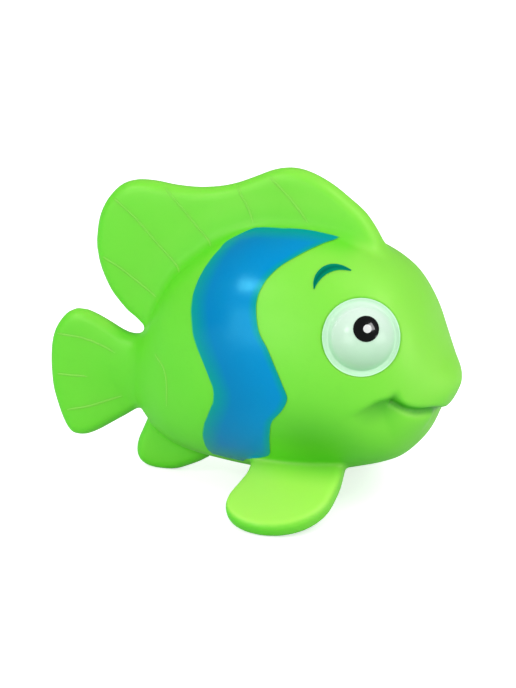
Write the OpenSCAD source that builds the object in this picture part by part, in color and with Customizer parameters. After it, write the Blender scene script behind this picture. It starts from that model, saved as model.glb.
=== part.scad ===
// Squeaky bath toy: a hollow vinyl fish with painted bands, brows and eyes, and a snap-in
// squeaker in its belly. The nose points along +X and the toy's left side along +Y. It stands
// on Z = 0, on the tips of its pectoral fins and the lower edge of its anal fin.

/* [Body] */
// Length from the edge of the tail fin to the nose
toy_length = 110; // [80:1:160]
// Height from the soles to the top of the dorsal fin
toy_height = 84; // [62:1:122]
// Width of the body at its widest section
body_width = 46.6; // [38:0.2:66]
// Thickness of the vinyl wall
wall = 2; // [1.4:0.1:2.8]
// Radius of the moulded mouth line
mouth_groove = 0.8; // [0.4:0.1:1.2]

/* [Fins] */
// Thickness of the dorsal fin
dorsal_thickness = 5; // [3:0.1:7]
// Thickness of the tail fin
tail_thickness = 4.6; // [3:0.1:6.5]
// Thickness of the anal fin
anal_thickness = 5; // [3:0.1:7]
// Thickness of each pectoral fin
pectoral_thickness = 4.4; // [3:0.1:6]
// Longest chord of a pectoral fin
pectoral_chord = 25.6; // [18:0.1:32]
// Distance of that chord's middle ahead of the toy's middle
pectoral_place = 16.5; // [10:0.5:22]
// Distance of a pectoral fin's foot from the midplane
pectoral_foot = 10; // [8:0.5:12]
// Height of that foot above the soles
pectoral_foot_height = 13.5; // [11:0.5:17]
// Distance of a pectoral fin's tip from the midplane
pectoral_reach = 33.4; // [28:0.2:44]
// Height of the middle of that tip above the soles
pectoral_tip_height = 0.7; // [0.4:0.1:1.1]

/* [Eyes] */
// Radius of the ball that each eye dome is part of
eye_ball = 12; // [11:0.1:13.5]
// Height of the dome above the cheek
eye_rise = 2.6; // [2.2:0.1:3.2]
// Radius of the white paint
white_radius = 8.6; // [6:0.1:9]
// Radius of the pupil
pupil_radius = 3; // [2:0.1:4]
// Radius of the light spot in the pupil
glint_radius = 1; // [0.5:0.1:1.5]

/* [Paint] */
// Thickness of each painted film
paint = 0.3; // [0.2:0.05:0.5]
// Gap between a film and what it covers
paint_gap = 0.14; // [0.08:0.01:0.2]

/* [Squeaker] */
// Distance of the squeaker ahead of the toy's middle
squeaker_place = 8; // [4:0.5:12]
// Radius of the housing's outer flange
flange_radius = 7.6; // [7:0.1:8.4]
// Thickness of that flange
flange_thickness = 1.6; // [1.2:0.1:2.2]
// Depth of the flange's face inside the belly
flange_sink = 1; // [0.6:0.1:1.6]
// Radius of the housing's shank
shank_radius = 5.9; // [5.6:0.1:6.3]
// Thickness of the vinyl collar that the shank snaps into
collar_thickness = 2.4; // [1.8:0.1:3]
// Radius of that collar inside the body
collar_radius = 9.6; // [9:0.1:12]
// Height of the lip that holds the housing in the collar
lip_height = 1.2; // [0.8:0.1:1.8]
// Overhang of that lip past the shank
lip_overhang = 0.7; // [0.4:0.1:1]
// Wall thickness of the housing
housing_wall = 1.1; // [0.8:0.05:1.3]
// Height of the housing above its lip
housing_height = 4; // [3.5:0.1:6]
// Thickness of the cap on the housing
cap_thickness = 1; // [0.8:0.1:1.6]
// Radius of each air hole in the cap
cap_hole = 0.8; // [0.5:0.05:1]
// Number of air holes in the cap
cap_holes = 6; // [3:1:8]
// Clearance all round between the squeaker and what it fits
fit_clearance = 0.06; // [0.03:0.01:0.1]

/* [Reed] */
// Radius of the round stem that the seat and the clamp make together
stem_radius = 2.4; // [2.1:0.1:2.8]
// Length of the clamped stem
stem_length = 3.6; // [3:0.1:4.5]
// Width of the reed
reed_width = 3; // [2.4:0.1:3.4]
// Thickness of the reed
reed_thickness = 0.2; // [0.15:0.01:0.3]
// Gap between each face of the reed and the seat or clamp
reed_gap = 0.15; // [0.12:0.01:0.2]
// Length of the reed that is held in the stem
reed_root = 1.5; // [1:0.1:1.6]
// Free length of the reed
reed_free = 5.2; // [4.4:0.1:5.6]
// Width of the air channel in the seat
channel_width = 1.4; // [1:0.1:1.8]
// Depth of that channel
channel_depth = 1.3; // [0.9:0.1:1.5]

/* [Hidden] */
overrun = toy_length;
half_width = body_width / 2;

// Body sections from tail to nose: place along the length, then the belly and the back as
// shares of the height, then the half width as a share of half the body's width.
body_shares = [
    [-0.345, 0.298, 0.352, 0.04], [-0.310, 0.250, 0.410, 0.13], [-0.273, 0.205, 0.455, 0.22],
    [-0.245, 0.165, 0.500, 0.33], [-0.218, 0.129, 0.560, 0.43], [-0.173, 0.098, 0.645, 0.58],
    [-0.118, 0.081, 0.717, 0.72], [-0.055, 0.073, 0.778, 0.85], [0.018, 0.070, 0.818, 0.94],
    [0.091, 0.072, 0.831, 0.985], [0.164, 0.079, 0.832, 1], [0.236, 0.100, 0.818, 0.985],
    [0.300, 0.124, 0.787, 0.94], [0.345, 0.144, 0.758, 0.885], [0.382, 0.169, 0.720, 0.815],
    [0.418, 0.210, 0.650, 0.69], [0.445, 0.254, 0.566, 0.55], [0.468, 0.298, 0.495, 0.405],
    [0.484, 0.334, 0.456, 0.275], [0.494, 0.371, 0.430, 0.145], [0.5, 0.400, 0.405, 0.01]
];
// Height of the widest line in each section, and the squareness of the sections
widest_share = 0.46;
round_share = 0.92;
// The body's hollow runs between these places
hollow_shares = [-0.235, 0.478];

// Dorsal fin from back to front: place, lower edge and upper edge. Where the lower edge is
// inside the body it follows the back.
dorsal_shares = [
    [-0.371, 0.695, 0.722], [-0.367, 0.660, 0.765], [-0.360, 0.627, 0.801], [-0.348, 0.590, 0.835],
    [-0.334, 0.557, 0.860], [-0.316, 0.527, 0.888], [-0.298, 0.500, 0.905], [-0.279, 0.474, 0.915],
    [-0.260, 0.445, 0.920], [-0.225, 0.470, 0.920], [-0.180, 0.560, 0.914], [-0.125, 0.640, 0.914],
    [-0.072, 0.700, 0.922], [-0.030, 0.740, 0.938], [0.012, 0.760, 0.962], [0.060, 0.775, 0.990],
    [0.104, 0.780, 1], [0.146, 0.780, 0.987], [0.193, 0.775, 0.957], [0.235, 0.765, 0.921],
    [0.272, 0.755, 0.884], [0.296, 0.745, 0.836], [0.314, 0.735, 0.788], [0.328, 0.725, 0.740]
];
// Tail fin from its lower to its upper lobe: height, rear edge and front edge
tail_shares = [
    [0.072, -0.440, -0.424], [0.077, -0.450, -0.409], [0.094, -0.462, -0.383], [0.125, -0.474, -0.347],
    [0.170, -0.486, -0.297], [0.220, -0.496, -0.250], [0.270, -0.4995, -0.235], [0.310, -0.5, -0.230],
    [0.365, -0.497, -0.235], [0.400, -0.490, -0.262], [0.418, -0.484, -0.298], [0.433, -0.477, -0.328],
    [0.453, -0.465, -0.356], [0.471, -0.450, -0.384], [0.482, -0.433, -0.408]
];
// Anal fin from back to front: place, lower edge and upper edge
anal_shares = [
    [-0.284, 0.040, 0.062], [-0.279, 0.023, 0.088], [-0.270, 0.010, 0.116], [-0.257, 0.001, 0.155],
    [-0.241, -0.005, 0.200], [-0.225, -0.007, 0.190], [-0.205, -0.005, 0.160], [-0.180, 0.003, 0.140],
    [-0.152, 0.019, 0.125], [-0.125, 0.037, 0.115], [-0.100, 0.058, 0.105]
];
// Pectoral fin from foot to tip: place along the span, then the front and the rear edge as
// shares of the chord from its middle, and the thickness
pectoral_shares = [
    [0, 0.49, -0.45, 1], [0.20, 0.52, -0.42, 1], [0.35, 0.53, -0.41, 1], [0.50, 0.52, -0.45, 1],
    [0.62, 0.50, -0.49, 1], [0.73, 0.45, -0.50, 1], [0.83, 0.37, -0.47, 0.99], [0.90, 0.28, -0.41, 0.96],
    [0.95, 0.18, -0.33, 0.90], [0.985, 0.06, -0.22, 0.74], [1, -0.05, -0.10, 0.40]
];

// Painted band, row by row round the side from the back to the belly: angle from the top of
// the section, then the places of its rear and front edges
band_shares = [
    [6.5, 0.050, 0.228], [11, 0.004, 0.219], [16, -0.034, 0.203], [22, -0.046, 0.183],
    [30, -0.065, 0.152], [38, -0.078, 0.117], [46, -0.087, 0.093], [54, -0.090, 0.081],
    [62, -0.085, 0.083], [70, -0.076, 0.095], [76, -0.064, 0.116], [82, -0.048, 0.133],
    [88, -0.031, 0.150], [94, -0.018, 0.164], [100, -0.020, 0.152], [107, -0.034, 0.126],
    [115, -0.050, 0.117], [124, -0.060, 0.112], [132, -0.061, 0.103], [136, -0.060, 0.077],
    [140, -0.058, 0.044], [146, -0.052, 0.026]
];
band_columns = 8;
band_rows = 44;

// Brow, from its lower end to its forward end: place and angle of the upper edge, then of
// the lower edge
brow_shares = [
    [0.2025, 45.4, 0.2045, 45.6], [0.2010, 41, 0.2090, 42.8], [0.2030, 36.6, 0.2170, 39.5],
    [0.2120, 32.7, 0.2280, 36.3], [0.2265, 30.1, 0.2410, 33.3], [0.2475, 28.5, 0.2545, 31.1],
    [0.2715, 29.0, 0.2700, 29.8]
];
brow_steps = 18;

// The eye's middle on the cheek, and the direction that it faces
eye_place_share = 0.320;
eye_angle = 63.5;
eye_turn = 20;
eye_tilt = 18;
// The pupil's middle on the dome, turned up and forwards from the dome's own middle
pupil_up = 10;
pupil_ahead = 5;

// Mouth line from its corner to the midplane: place, angle from the top, in the section
mouth_shares = [
    [0.382, 92], [0.398, 96.5], [0.414, 101], [0.437, 107], [0.456, 115], [0.472, 127],
    [0.483, 145], [0.487, 180]
];

body_rings = 44;
body_sides = 40;
hollow_rings = 26;
hollow_sides = 26;
fin_sides = 16;
fin_rings = 30;
pectoral_rings = 20;
groove_sides = 6;
groove_rings = 24;
fin_square_share = 0.5;
eye_facets = 64;
round_facets = 48;

vinyl_green = [0.42, 0.86, 0.24];
band_blue = [0.03, 0.55, 0.78];
brow_green = [0.02, 0.55, 0.42];
eye_white = [0.90, 0.97, 0.92];
eye_black = [0.03, 0.03, 0.03];
squeaker_white = [0.93, 0.93, 0.90];
reed_clear = [0.80, 0.84, 0.88];

// Smooth curves through tables whose first column rises

function span(t, x, i = 0) = i >= len(t) - 2 || x < t[i + 1][0] ? i : span(t, x, i + 1);

function slope(t, i, c) =
    let (a = max(i - 1, 0), b = min(i + 1, len(t) - 1))
    (t[b][c] - t[a][c]) / (t[b][0] - t[a][0]);

function smooth(t, x, c) =
    let (i = span(t, x), h = t[i + 1][0] - t[i][0], u = min(max((x - t[i][0]) / h, 0), 1))
    (2 * u ^ 3 - 3 * u ^ 2 + 1) * t[i][c] + (u ^ 3 - 2 * u ^ 2 + u) * h * slope(t, i, c)
    + (3 * u ^ 2 - 2 * u ^ 3) * t[i + 1][c] + (u ^ 3 - u ^ 2) * h * slope(t, i + 1, c);

// A table whose rows are numbered, so that it can be followed row by row
function numbered(t) = [for (i = [0 : len(t) - 1]) concat([i], t[i])];

function rounded(v, e) = sign(v) * abs(v) ^ e;

// A point of the body's skin, at a place along the length and an angle from the top of its
// section towards +Y, with the section grown all round
function skin(x, a, grow = 0) =
    let (
        low = toy_height * smooth(body_shares, x, 1),
        high = toy_height * smooth(body_shares, x, 2),
        side = half_width * smooth(body_shares, x, 3),
        middle = low + widest_share * (high - low),
        reach = cos(a) >= 0 ? high - middle : middle - low
    )
    [
        toy_length * x,
        (side + grow) * rounded(sin(a), round_share),
        middle + (reach + grow) * rounded(cos(a), round_share)
    ];

// A flat oval ring with square shoulders, about a middle, with two half axes
function oval(middle, along, across, sides) =
    [for (k = [0 : sides - 1])
        let (a = 360 * k / sides)
        middle + rounded(cos(a), fin_square_share) * along + rounded(sin(a), fin_square_share) * across];

// A closed solid through rings with the same number of points
module loft(rings) {
    n = len(rings[0]);
    last = len(rings) - 1;
    points = [for (r = rings) each r];
    sides = [for (i = [0 : last - 1], k = [0 : n - 1])
        let (a = i * n + k, b = i * n + (k + 1) % n)
        each [[a, b, b + n], [a, b + n, a + n]]];
    polyhedron(points, concat(
        sides,
        [[for (k = [n - 1 : -1 : 0]) k]],
        [[for (k = [0 : n - 1]) last * n + k]]
    ), convexity = 8);
}

// A film of paint over a grid of places and angles on the skin
module film(grid) {
    rows = len(grid);
    columns = len(grid[0]);
    count = rows * columns;
    points = [for (grow = [paint_gap + paint, paint_gap], row = grid, q = row) skin(q[0], q[1], grow)];
    tops = [for (i = [0 : rows - 2], j = [0 : columns - 2])
        let (a = i * columns + j, b = a + columns)
        each [[a, a + 1, b + 1], [a, b + 1, b]]];
    bottoms = [for (f = tops) [f[2] + count, f[1] + count, f[0] + count]];
    rim = concat(
        [for (j = [0 : columns - 1]) j],
        [for (i = [1 : rows - 1]) i * columns + columns - 1],
        [for (j = [columns - 2 : -1 : 0]) (rows - 1) * columns + j],
        [for (i = [rows - 2 : -1 : 1]) i * columns]
    );
    walls = [for (k = [0 : len(rim) - 1])
        let (a = rim[k], b = rim[(k + 1) % len(rim)])
        each [[b, a, a + count], [b, a + count, b + count]]];
    polyhedron(points, concat(tops, bottoms, walls), convexity = 6);
}

function place(from, to, i, n) = from + (to - from) * i / n;

module body_form() {
    tail = body_shares[0][0];
    nose = body_shares[len(body_shares) - 1][0];
    loft([for (i = [0 : body_rings])
        let (x = place(tail, nose, sin(90 * i / body_rings), 1))
        [for (k = [0 : body_sides - 1]) skin(x, 360 * k / body_sides)]]);
}

module body_hollow() {
    shrink = 1 - 2 * wall / toy_length;
    loft([for (i = [0 : hollow_rings])
        let (x = place(hollow_shares[0], hollow_shares[1], sin(90 * i / hollow_rings), 1))
        [for (k = [0 : hollow_sides - 1])
            let (p = skin(x, 360 * k / hollow_sides, -wall))
            [p[0] * shrink, p[1], p[2]]]]);
}

// A fin in the midplane whose table runs along the toy
module upright_fin(table, thickness) {
    first = table[0][0];
    last = table[len(table) - 1][0];
    loft([for (i = [0 : fin_rings])
        let (
            x = place(first, last, (1 - cos(180 * i / fin_rings)) / 2, 1),
            low = toy_height * smooth(table, x, 1),
            high = toy_height * smooth(table, x, 2),
            middle = [toy_length * x, 0, (high + low) / 2]
        )
        oval(middle, [0, 0, (high - low) / 2], [0, thickness / 2, 0], fin_sides)]);
}

module tail_form() {
    first = tail_shares[0][0];
    last = tail_shares[len(tail_shares) - 1][0];
    loft([for (i = [0 : fin_rings])
        let (
            z = place(first, last, (1 - cos(180 * i / fin_rings)) / 2, 1),
            rear = toy_length * smooth(tail_shares, z, 1),
            front = toy_length * smooth(tail_shares, z, 2),
            middle = [(front + rear) / 2, 0, toy_height * z]
        )
        oval(middle, [(front - rear) / 2, 0, 0], [0, -tail_thickness / 2, 0], fin_sides)]);
}

module left_pectoral_form() {
    run = [0, pectoral_reach - pectoral_foot, pectoral_tip_height - pectoral_foot_height];
    up = [0, -run[2], run[1]] / norm(run);
    foot = [pectoral_place, pectoral_foot, pectoral_foot_height];
    loft([for (i = [0 : pectoral_rings])
        let (
            v = sin(90 * i / pectoral_rings),
            front = pectoral_chord * smooth(pectoral_shares, v, 1),
            rear = pectoral_chord * smooth(pectoral_shares, v, 2),
            thick = pectoral_thickness * smooth(pectoral_shares, v, 3),
            middle = foot + run * v + [(front + rear) / 2, 0, 0]
        )
        oval(middle, [(front - rear) / 2, 0, 0], up * thick / 2, fin_sides)]);
}

// The left eye's middle on the cheek, the way it faces, and the centre of its ball
eye_point = skin(eye_place_share, eye_angle);
eye_facing = [sin(eye_turn) * cos(eye_tilt), cos(eye_turn) * cos(eye_tilt), sin(eye_tilt)];
eye_centre = eye_point - (eye_ball - eye_rise) * eye_facing;

// Turns +Z to the left eye's direction, from the centre of its ball
module at_left_eye(up = 0, ahead = 0) {
    translate(eye_centre)
        rotate([0, 90 - eye_tilt - up, 90 - eye_turn - ahead])
            children();
}

// A cap of paint on the eye's ball, of a given radius, over so many films
module eye_film(radius, level) {
    inner = eye_ball + paint_gap + level * (paint + paint_gap);
    difference() {
        intersection() {
            sphere(r = inner + paint, $fn = eye_facets);
            cylinder(h = 2 * inner, r = radius, $fn = eye_facets);
        }
        sphere(r = inner, $fn = eye_facets);
    }
}

module mouth_line() {
    path = [for (i = [-groove_rings : groove_rings])
        let (
            u = (len(mouth_shares) - 1) * (1 - abs(i) / groove_rings),
            t = numbered(mouth_shares),
            p = skin(smooth(t, u, 1), smooth(t, u, 2))
        )
        [p[0], sign(i) * p[1], p[2]]];
    loft([for (i = [0 : len(path) - 1])
        let (
            ahead = path[min(i + 1, len(path) - 1)] - path[max(i - 1, 0)],
            side = cross(ahead / norm(ahead), [0, 0, 1])
        )
        [for (k = [0 : groove_sides - 1])
            let (a = 360 * k / groove_sides)
            path[i] + mouth_groove * (cos(a) * side / norm(side) + [0, 0, sin(a)])]]);
}

module both_sides() {
    children();
    mirror([0, 1, 0]) children();
}

// The moulding's outer form, brought to its length and height over the soles. The cheeks are
// cut back round the balls of the eyes, so that the white paint lies on the balls alone.
module outer_form() {
    resize([toy_length, 0, toy_height])
        difference() {
            union() {
                difference() {
                    body_form();
                    both_sides() at_left_eye()
                        cylinder(h = 2 * eye_ball, r = white_radius + paint_gap, $fn = round_facets);
                }
                both_sides() at_left_eye() sphere(r = eye_ball, $fn = round_facets);
                upright_fin(dorsal_shares, dorsal_thickness);
                upright_fin(anal_shares, anal_thickness);
                tail_form();
                both_sides() left_pectoral_form();
            }
            mouth_line();
            translate([-overrun, -overrun, -overrun])
                cube([2 * overrun, 2 * overrun, overrun]);
        }
}

// Heights of the squeaker's levels, from the belly up
belly_height = skin(squeaker_place / toy_length, 180)[2];
face_height = belly_height + flange_sink;
seat_height = face_height + flange_thickness;
collar_height = seat_height + collar_thickness;
lip_top = collar_height + fit_clearance + lip_height;
housing_top = lip_top + housing_height;
shank_bore = shank_radius + fit_clearance;
chamber_radius = shank_radius - housing_wall;
stem_top = face_height + stem_length;
reed_top = stem_top + reed_free;
slot_half = reed_thickness / 2 + reed_gap;

module at_squeaker(height = 0) {
    translate([squeaker_place, 0, height])
        children();
}

module body_shell() {
    difference() {
        color(vinyl_green)
            outer_form();
        color(vinyl_green)
            difference() {
                body_hollow();
                at_squeaker() cylinder(h = collar_height, r = collar_radius, $fn = round_facets);
            }
        at_squeaker(seat_height + fit_clearance - overrun)
            cylinder(h = overrun, r = flange_radius + fit_clearance, $fn = round_facets);
        at_squeaker()
            cylinder(h = 2 * collar_height, r = shank_bore, $fn = round_facets);
    }
}

module left_band() {
    first = band_shares[0][0];
    last = band_shares[len(band_shares) - 1][0];
    color(band_blue)
        film([for (i = [0 : band_rows])
            let (
                a = place(first, last, i, band_rows),
                rear = smooth(band_shares, a, 1),
                front = smooth(band_shares, a, 2)
            )
            [for (j = [0 : band_columns]) [place(rear, front, j, band_columns), a]]]);
}

module left_brow() {
    t = numbered(brow_shares);
    color(brow_green)
        film([for (i = [0 : brow_steps])
            let (
                u = place(0, len(brow_shares) - 1, i, brow_steps),
                upper = [smooth(t, u, 1), smooth(t, u, 2)],
                lower = [smooth(t, u, 3), smooth(t, u, 4)]
            )
            [for (j = [0 : 2]) place(lower, upper, j, 2)]]);
}

module left_eye_white() {
    color(eye_white)
        at_left_eye() eye_film(white_radius, 0);
}

module left_pupil() {
    color(eye_black)
        at_left_eye(pupil_up, pupil_ahead) eye_film(pupil_radius, 1);
}

module left_glint() {
    color(eye_white)
        at_left_eye(pupil_up, pupil_ahead) eye_film(glint_radius, 2);
}

module right_band() {
    mirror([0, 1, 0]) left_band();
}

module right_brow() {
    mirror([0, 1, 0]) left_brow();
}

module right_eye_white() {
    mirror([0, 1, 0]) left_eye_white();
}

module right_pupil() {
    mirror([0, 1, 0]) left_pupil();
}

module right_glint() {
    mirror([0, 1, 0]) left_glint();
}

// A cup with an outer flange, a snap lip and a hole in its floor for the reed's stem
module squeaker_housing() {
    lip_foot = collar_height + fit_clearance;
    stem_hole = stem_radius + fit_clearance;
    color(squeaker_white)
        at_squeaker()
            rotate_extrude($fn = round_facets)
                polygon([
                    [stem_hole, face_height], [flange_radius, face_height], [flange_radius, seat_height],
                    [shank_radius, seat_height], [shank_radius, lip_foot],
                    [shank_radius + lip_overhang, lip_foot], [shank_radius, lip_top],
                    [shank_radius, housing_top], [chamber_radius, housing_top],
                    [chamber_radius, seat_height], [stem_hole + housing_wall, seat_height],
                    [stem_hole + housing_wall, stem_top], [stem_hole, stem_top]
                ]);
}

// A lid that plugs the cup, with a ring of air holes
module squeaker_cap() {
    plug = chamber_radius - fit_clearance;
    color(squeaker_white)
        at_squeaker(housing_top)
            difference() {
                union() {
                    cylinder(h = cap_thickness, r = shank_radius, $fn = round_facets);
                    translate([0, 0, -cap_thickness])
                        cylinder(h = cap_thickness, r = plug, $fn = round_facets);
                }
                translate([0, 0, -2 * cap_thickness])
                    cylinder(h = 2 * cap_thickness, r = plug - housing_wall, $fn = round_facets);
                for (k = [0 : cap_holes - 1])
                    rotate(360 * k / cap_holes)
                        translate([plug / 2, 0, -cap_thickness])
                            cylinder(h = 3 * cap_thickness, r = cap_hole, $fn = round_facets);
            }
}

// Half of the round stem, on one side of the reed
module half_stem(length) {
    intersection() {
        cylinder(h = length, r = stem_radius, $fn = round_facets);
        translate([-stem_radius, slot_half, 0])
            cube([2 * stem_radius, stem_radius, length]);
    }
}

// The longer half of the stem: the reed beats on its flat face, over an air channel
module reed_seat() {
    length = reed_top - face_height;
    color(squeaker_white)
        at_squeaker(face_height)
            mirror([0, 1, 0])
                difference() {
                    half_stem(length);
                    translate([-channel_width / 2, 0, -stem_length])
                        cube([channel_width, channel_depth, stem_length + length - channel_width]);
                }
}

module reed_clamp() {
    color(squeaker_white)
        at_squeaker(face_height)
            half_stem(stem_length);
}

module reed() {
    color(reed_clear)
        at_squeaker(stem_top - reed_root)
            translate([-reed_width / 2, -reed_thickness / 2, 0])
                cube([reed_width, reed_thickness, reed_root + reed_free]);
}

body_shell();
right_band();
left_band();
right_brow();
left_brow();
right_eye_white();
left_eye_white();
right_pupil();
left_pupil();
right_glint();
left_glint();
squeaker_housing();
squeaker_cap();
reed_seat();
reed_clamp();
reed();
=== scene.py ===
"""Squeaky bath toy: a hollow soft vinyl fish with sprayed paint, dressed over its solid model.

Sizes are in millimetres, as a drawing of the moulding gives them, and every mesh is brought to
metres when it is made. The nose points along +X and the toy's left side along +Y.
"""

import logging
import math
from dataclasses import dataclass
from dataclasses import field
from enum import Enum

import bpy
import numpy as np
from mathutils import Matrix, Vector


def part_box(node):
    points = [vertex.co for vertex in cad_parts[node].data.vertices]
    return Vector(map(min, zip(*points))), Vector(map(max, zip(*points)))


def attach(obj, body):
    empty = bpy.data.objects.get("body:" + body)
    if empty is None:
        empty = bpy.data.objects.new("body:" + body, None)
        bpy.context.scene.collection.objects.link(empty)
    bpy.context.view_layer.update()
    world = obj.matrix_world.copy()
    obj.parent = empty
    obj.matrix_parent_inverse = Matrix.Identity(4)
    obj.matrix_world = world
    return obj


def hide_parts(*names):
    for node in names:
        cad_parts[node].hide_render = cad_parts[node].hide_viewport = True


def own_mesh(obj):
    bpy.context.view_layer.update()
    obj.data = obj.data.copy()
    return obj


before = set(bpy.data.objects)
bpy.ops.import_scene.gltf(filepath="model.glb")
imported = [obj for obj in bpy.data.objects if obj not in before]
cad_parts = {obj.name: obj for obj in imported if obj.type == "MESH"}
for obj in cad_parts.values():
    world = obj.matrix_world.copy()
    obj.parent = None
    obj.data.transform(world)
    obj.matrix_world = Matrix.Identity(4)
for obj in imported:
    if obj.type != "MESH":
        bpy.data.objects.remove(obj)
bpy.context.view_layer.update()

import openvdb
from mathutils import Vector

LOG = logging.getLogger("bath_toy")
MM = 0.001
QUICK_PITCH, FULL_PITCH = 1.2, 0.6
# Smallest length that anything is divided by, and a length beyond any on the toy
TINY = 1e-9
FAR = 1e9

Colour = tuple[float, float, float]


class Side(Enum):
    """A side of the toy, with the sign of its Y."""

    RIGHT = -1
    LEFT = 1

    @property
    def word(self) -> str:
        """The side's name as the solid model writes it."""
        return self.name.lower()

    def turn(self, points: np.ndarray) -> np.ndarray:
        """Points of the left side, brought to this side."""
        return points * np.array([1.0, self.value, 1.0])


class Slot(Enum):
    """The material slots of the part's record."""

    VINYL = "green_vinyl"
    BLUE = "blue_paint"
    BROW = "brow_paint"
    WHITE = "white_paint"
    BLACK = "black_paint"
    SQUEAKER = "squeaker_plastic"
    REED = "reed_film"


@dataclass(frozen=True)
class Sizes:
    """Driving sizes of the toy in millimetres. Angles are in degrees."""

    length: float
    height: float
    body_width: float = 46.6
    dorsal_thickness: float = 5.4
    tail_thickness: float = 4.6
    anal_thickness: float = 5.0
    pectoral_thickness: float = 5.4
    pectoral_chord: float = 25.4
    pectoral_place: float = 16.5
    pectoral_foot: float = 10.0
    pectoral_foot_height: float = 13.5
    pectoral_reach: float = 33.4
    pectoral_tip_height: float = 1.6
    eye_ball: float = 8.5
    eye_rise: float = 3.1
    dome_ahead: float = 0.4
    dome_up: float = -0.25
    moat_radius: float = 8.15
    moat_width: float = 1.2
    moat_depth: float = 1.0
    eye_turn: float = 20.0
    eye_tilt: float = 18.0
    white_radius: float = 9.4
    pupil_radius: float = 3.0
    glint_radius: float = 0.95
    pupil_ahead: float = 1.0
    pupil_up: float = 2.05
    squeaker_place: float = 8.0
    recess_radius: float = 7.66
    recess_top: float = 8.63
    bore_radius: float = 5.96
    bore_top: float = 10.97
    chamber_radius: float = 10.2
    chamber_top: float = 20.0

    @classmethod
    def from_frame(cls) -> "Sizes":
        """The sizes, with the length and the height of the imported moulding."""
        low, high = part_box("body_shell")
        return cls(length=(high.x - low.x) / MM, height=(high.z - low.z) / MM)


# Body sections from tail to nose: place along the length, then the belly and the back as
# shares of the height, then the half width as a share of half the body's width.
BODY_SHARES = (
    (-0.345, 0.298, 0.352, 0.04), (-0.310, 0.250, 0.400, 0.13), (-0.273, 0.205, 0.428, 0.22),
    (-0.245, 0.165, 0.474, 0.33), (-0.218, 0.129, 0.552, 0.43), (-0.173, 0.099, 0.645, 0.58),
    (-0.118, 0.084, 0.717, 0.72), (-0.055, 0.077, 0.778, 0.85), (0.018, 0.072, 0.818, 0.94),
    (0.091, 0.072, 0.831, 0.985), (0.164, 0.079, 0.832, 1.0), (0.236, 0.100, 0.818, 0.985),
    (0.300, 0.124, 0.787, 0.94), (0.345, 0.144, 0.757, 0.885), (0.382, 0.169, 0.717, 0.81),
    (0.418, 0.217, 0.646, 0.685), (0.445, 0.268, 0.562, 0.545), (0.468, 0.316, 0.492, 0.40),
    (0.484, 0.350, 0.456, 0.275), (0.494, 0.380, 0.430, 0.145), (0.5, 0.400, 0.405, 0.01),
)
# Height of the widest line in each section, and the squareness of the sections
WIDEST_SHARE = 0.46
ROUND_SHARE = 0.92
# Dorsal fin from back to front: place, lower edge and upper edge
DORSAL_SHARES = (
    (-0.374, 0.695, 0.722), (-0.370, 0.660, 0.765), (-0.363, 0.627, 0.801), (-0.351, 0.590, 0.836),
    (-0.337, 0.557, 0.862), (-0.318, 0.527, 0.889), (-0.299, 0.502, 0.905), (-0.279, 0.485, 0.914),
    (-0.260, 0.468, 0.918), (-0.225, 0.470, 0.918), (-0.180, 0.560, 0.912), (-0.125, 0.640, 0.912),
    (-0.072, 0.700, 0.922), (-0.030, 0.740, 0.938), (0.012, 0.760, 0.962), (0.060, 0.775, 0.990),
    (0.104, 0.780, 1.0), (0.146, 0.780, 0.990), (0.193, 0.775, 0.962), (0.235, 0.765, 0.924),
    (0.271, 0.755, 0.886), (0.296, 0.745, 0.842), (0.315, 0.735, 0.794), (0.330, 0.725, 0.744),
)
# Tail fin from its lower to its upper lobe: height, rear edge and front edge
TAIL_SHARES = (
    (0.072, -0.440, -0.424), (0.077, -0.450, -0.409), (0.094, -0.462, -0.383), (0.125, -0.474, -0.347),
    (0.170, -0.486, -0.297), (0.220, -0.496, -0.250), (0.270, -0.4995, -0.235), (0.310, -0.5, -0.230),
    (0.365, -0.497, -0.235), (0.402, -0.490, -0.254), (0.420, -0.484, -0.288), (0.436, -0.477, -0.318),
    (0.457, -0.465, -0.348), (0.475, -0.450, -0.378), (0.487, -0.431, -0.405),
)
# Anal fin from back to front: place, lower edge and upper edge
ANAL_SHARES = (
    (-0.284, 0.040, 0.062), (-0.279, 0.023, 0.088), (-0.270, 0.010, 0.116), (-0.257, 0.001, 0.155),
    (-0.241, -0.005, 0.200), (-0.225, -0.007, 0.190), (-0.205, -0.005, 0.160), (-0.180, 0.003, 0.140),
    (-0.152, 0.019, 0.125), (-0.125, 0.037, 0.115), (-0.100, 0.058, 0.105),
)
# Pectoral fin from foot to tip: place along the span, then the front and the rear edge as
# shares of the chord from its middle
PECTORAL_SHARES = (
    (-0.35, 0.42, -0.38), (0.0, 0.49, -0.45), (0.20, 0.52, -0.42), (0.35, 0.53, -0.41),
    (0.50, 0.52, -0.45), (0.62, 0.50, -0.49), (0.73, 0.45, -0.50), (0.83, 0.37, -0.47),
    (0.90, 0.28, -0.41), (0.95, 0.18, -0.33), (0.985, 0.06, -0.22), (1.0, -0.05, -0.10),
)
# Painted band, row by row round the side from the back to the belly: angle from the top of
# the section, then the places of its rear and front edges
BAND_SHARES = (
    (6.5, 0.050, 0.228), (11, 0.004, 0.219), (16, -0.034, 0.203), (22, -0.046, 0.183),
    (30, -0.065, 0.152), (38, -0.078, 0.117), (46, -0.087, 0.093), (54, -0.090, 0.081),
    (62, -0.085, 0.083), (70, -0.076, 0.095), (76, -0.064, 0.116), (82, -0.048, 0.133),
    (88, -0.031, 0.150), (94, -0.018, 0.164), (100, -0.020, 0.152), (107, -0.034, 0.126),
    (115, -0.050, 0.117), (124, -0.060, 0.112), (132, -0.061, 0.103), (136, -0.060, 0.077),
    (140, -0.058, 0.044), (146, -0.052, 0.026),
)
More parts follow.
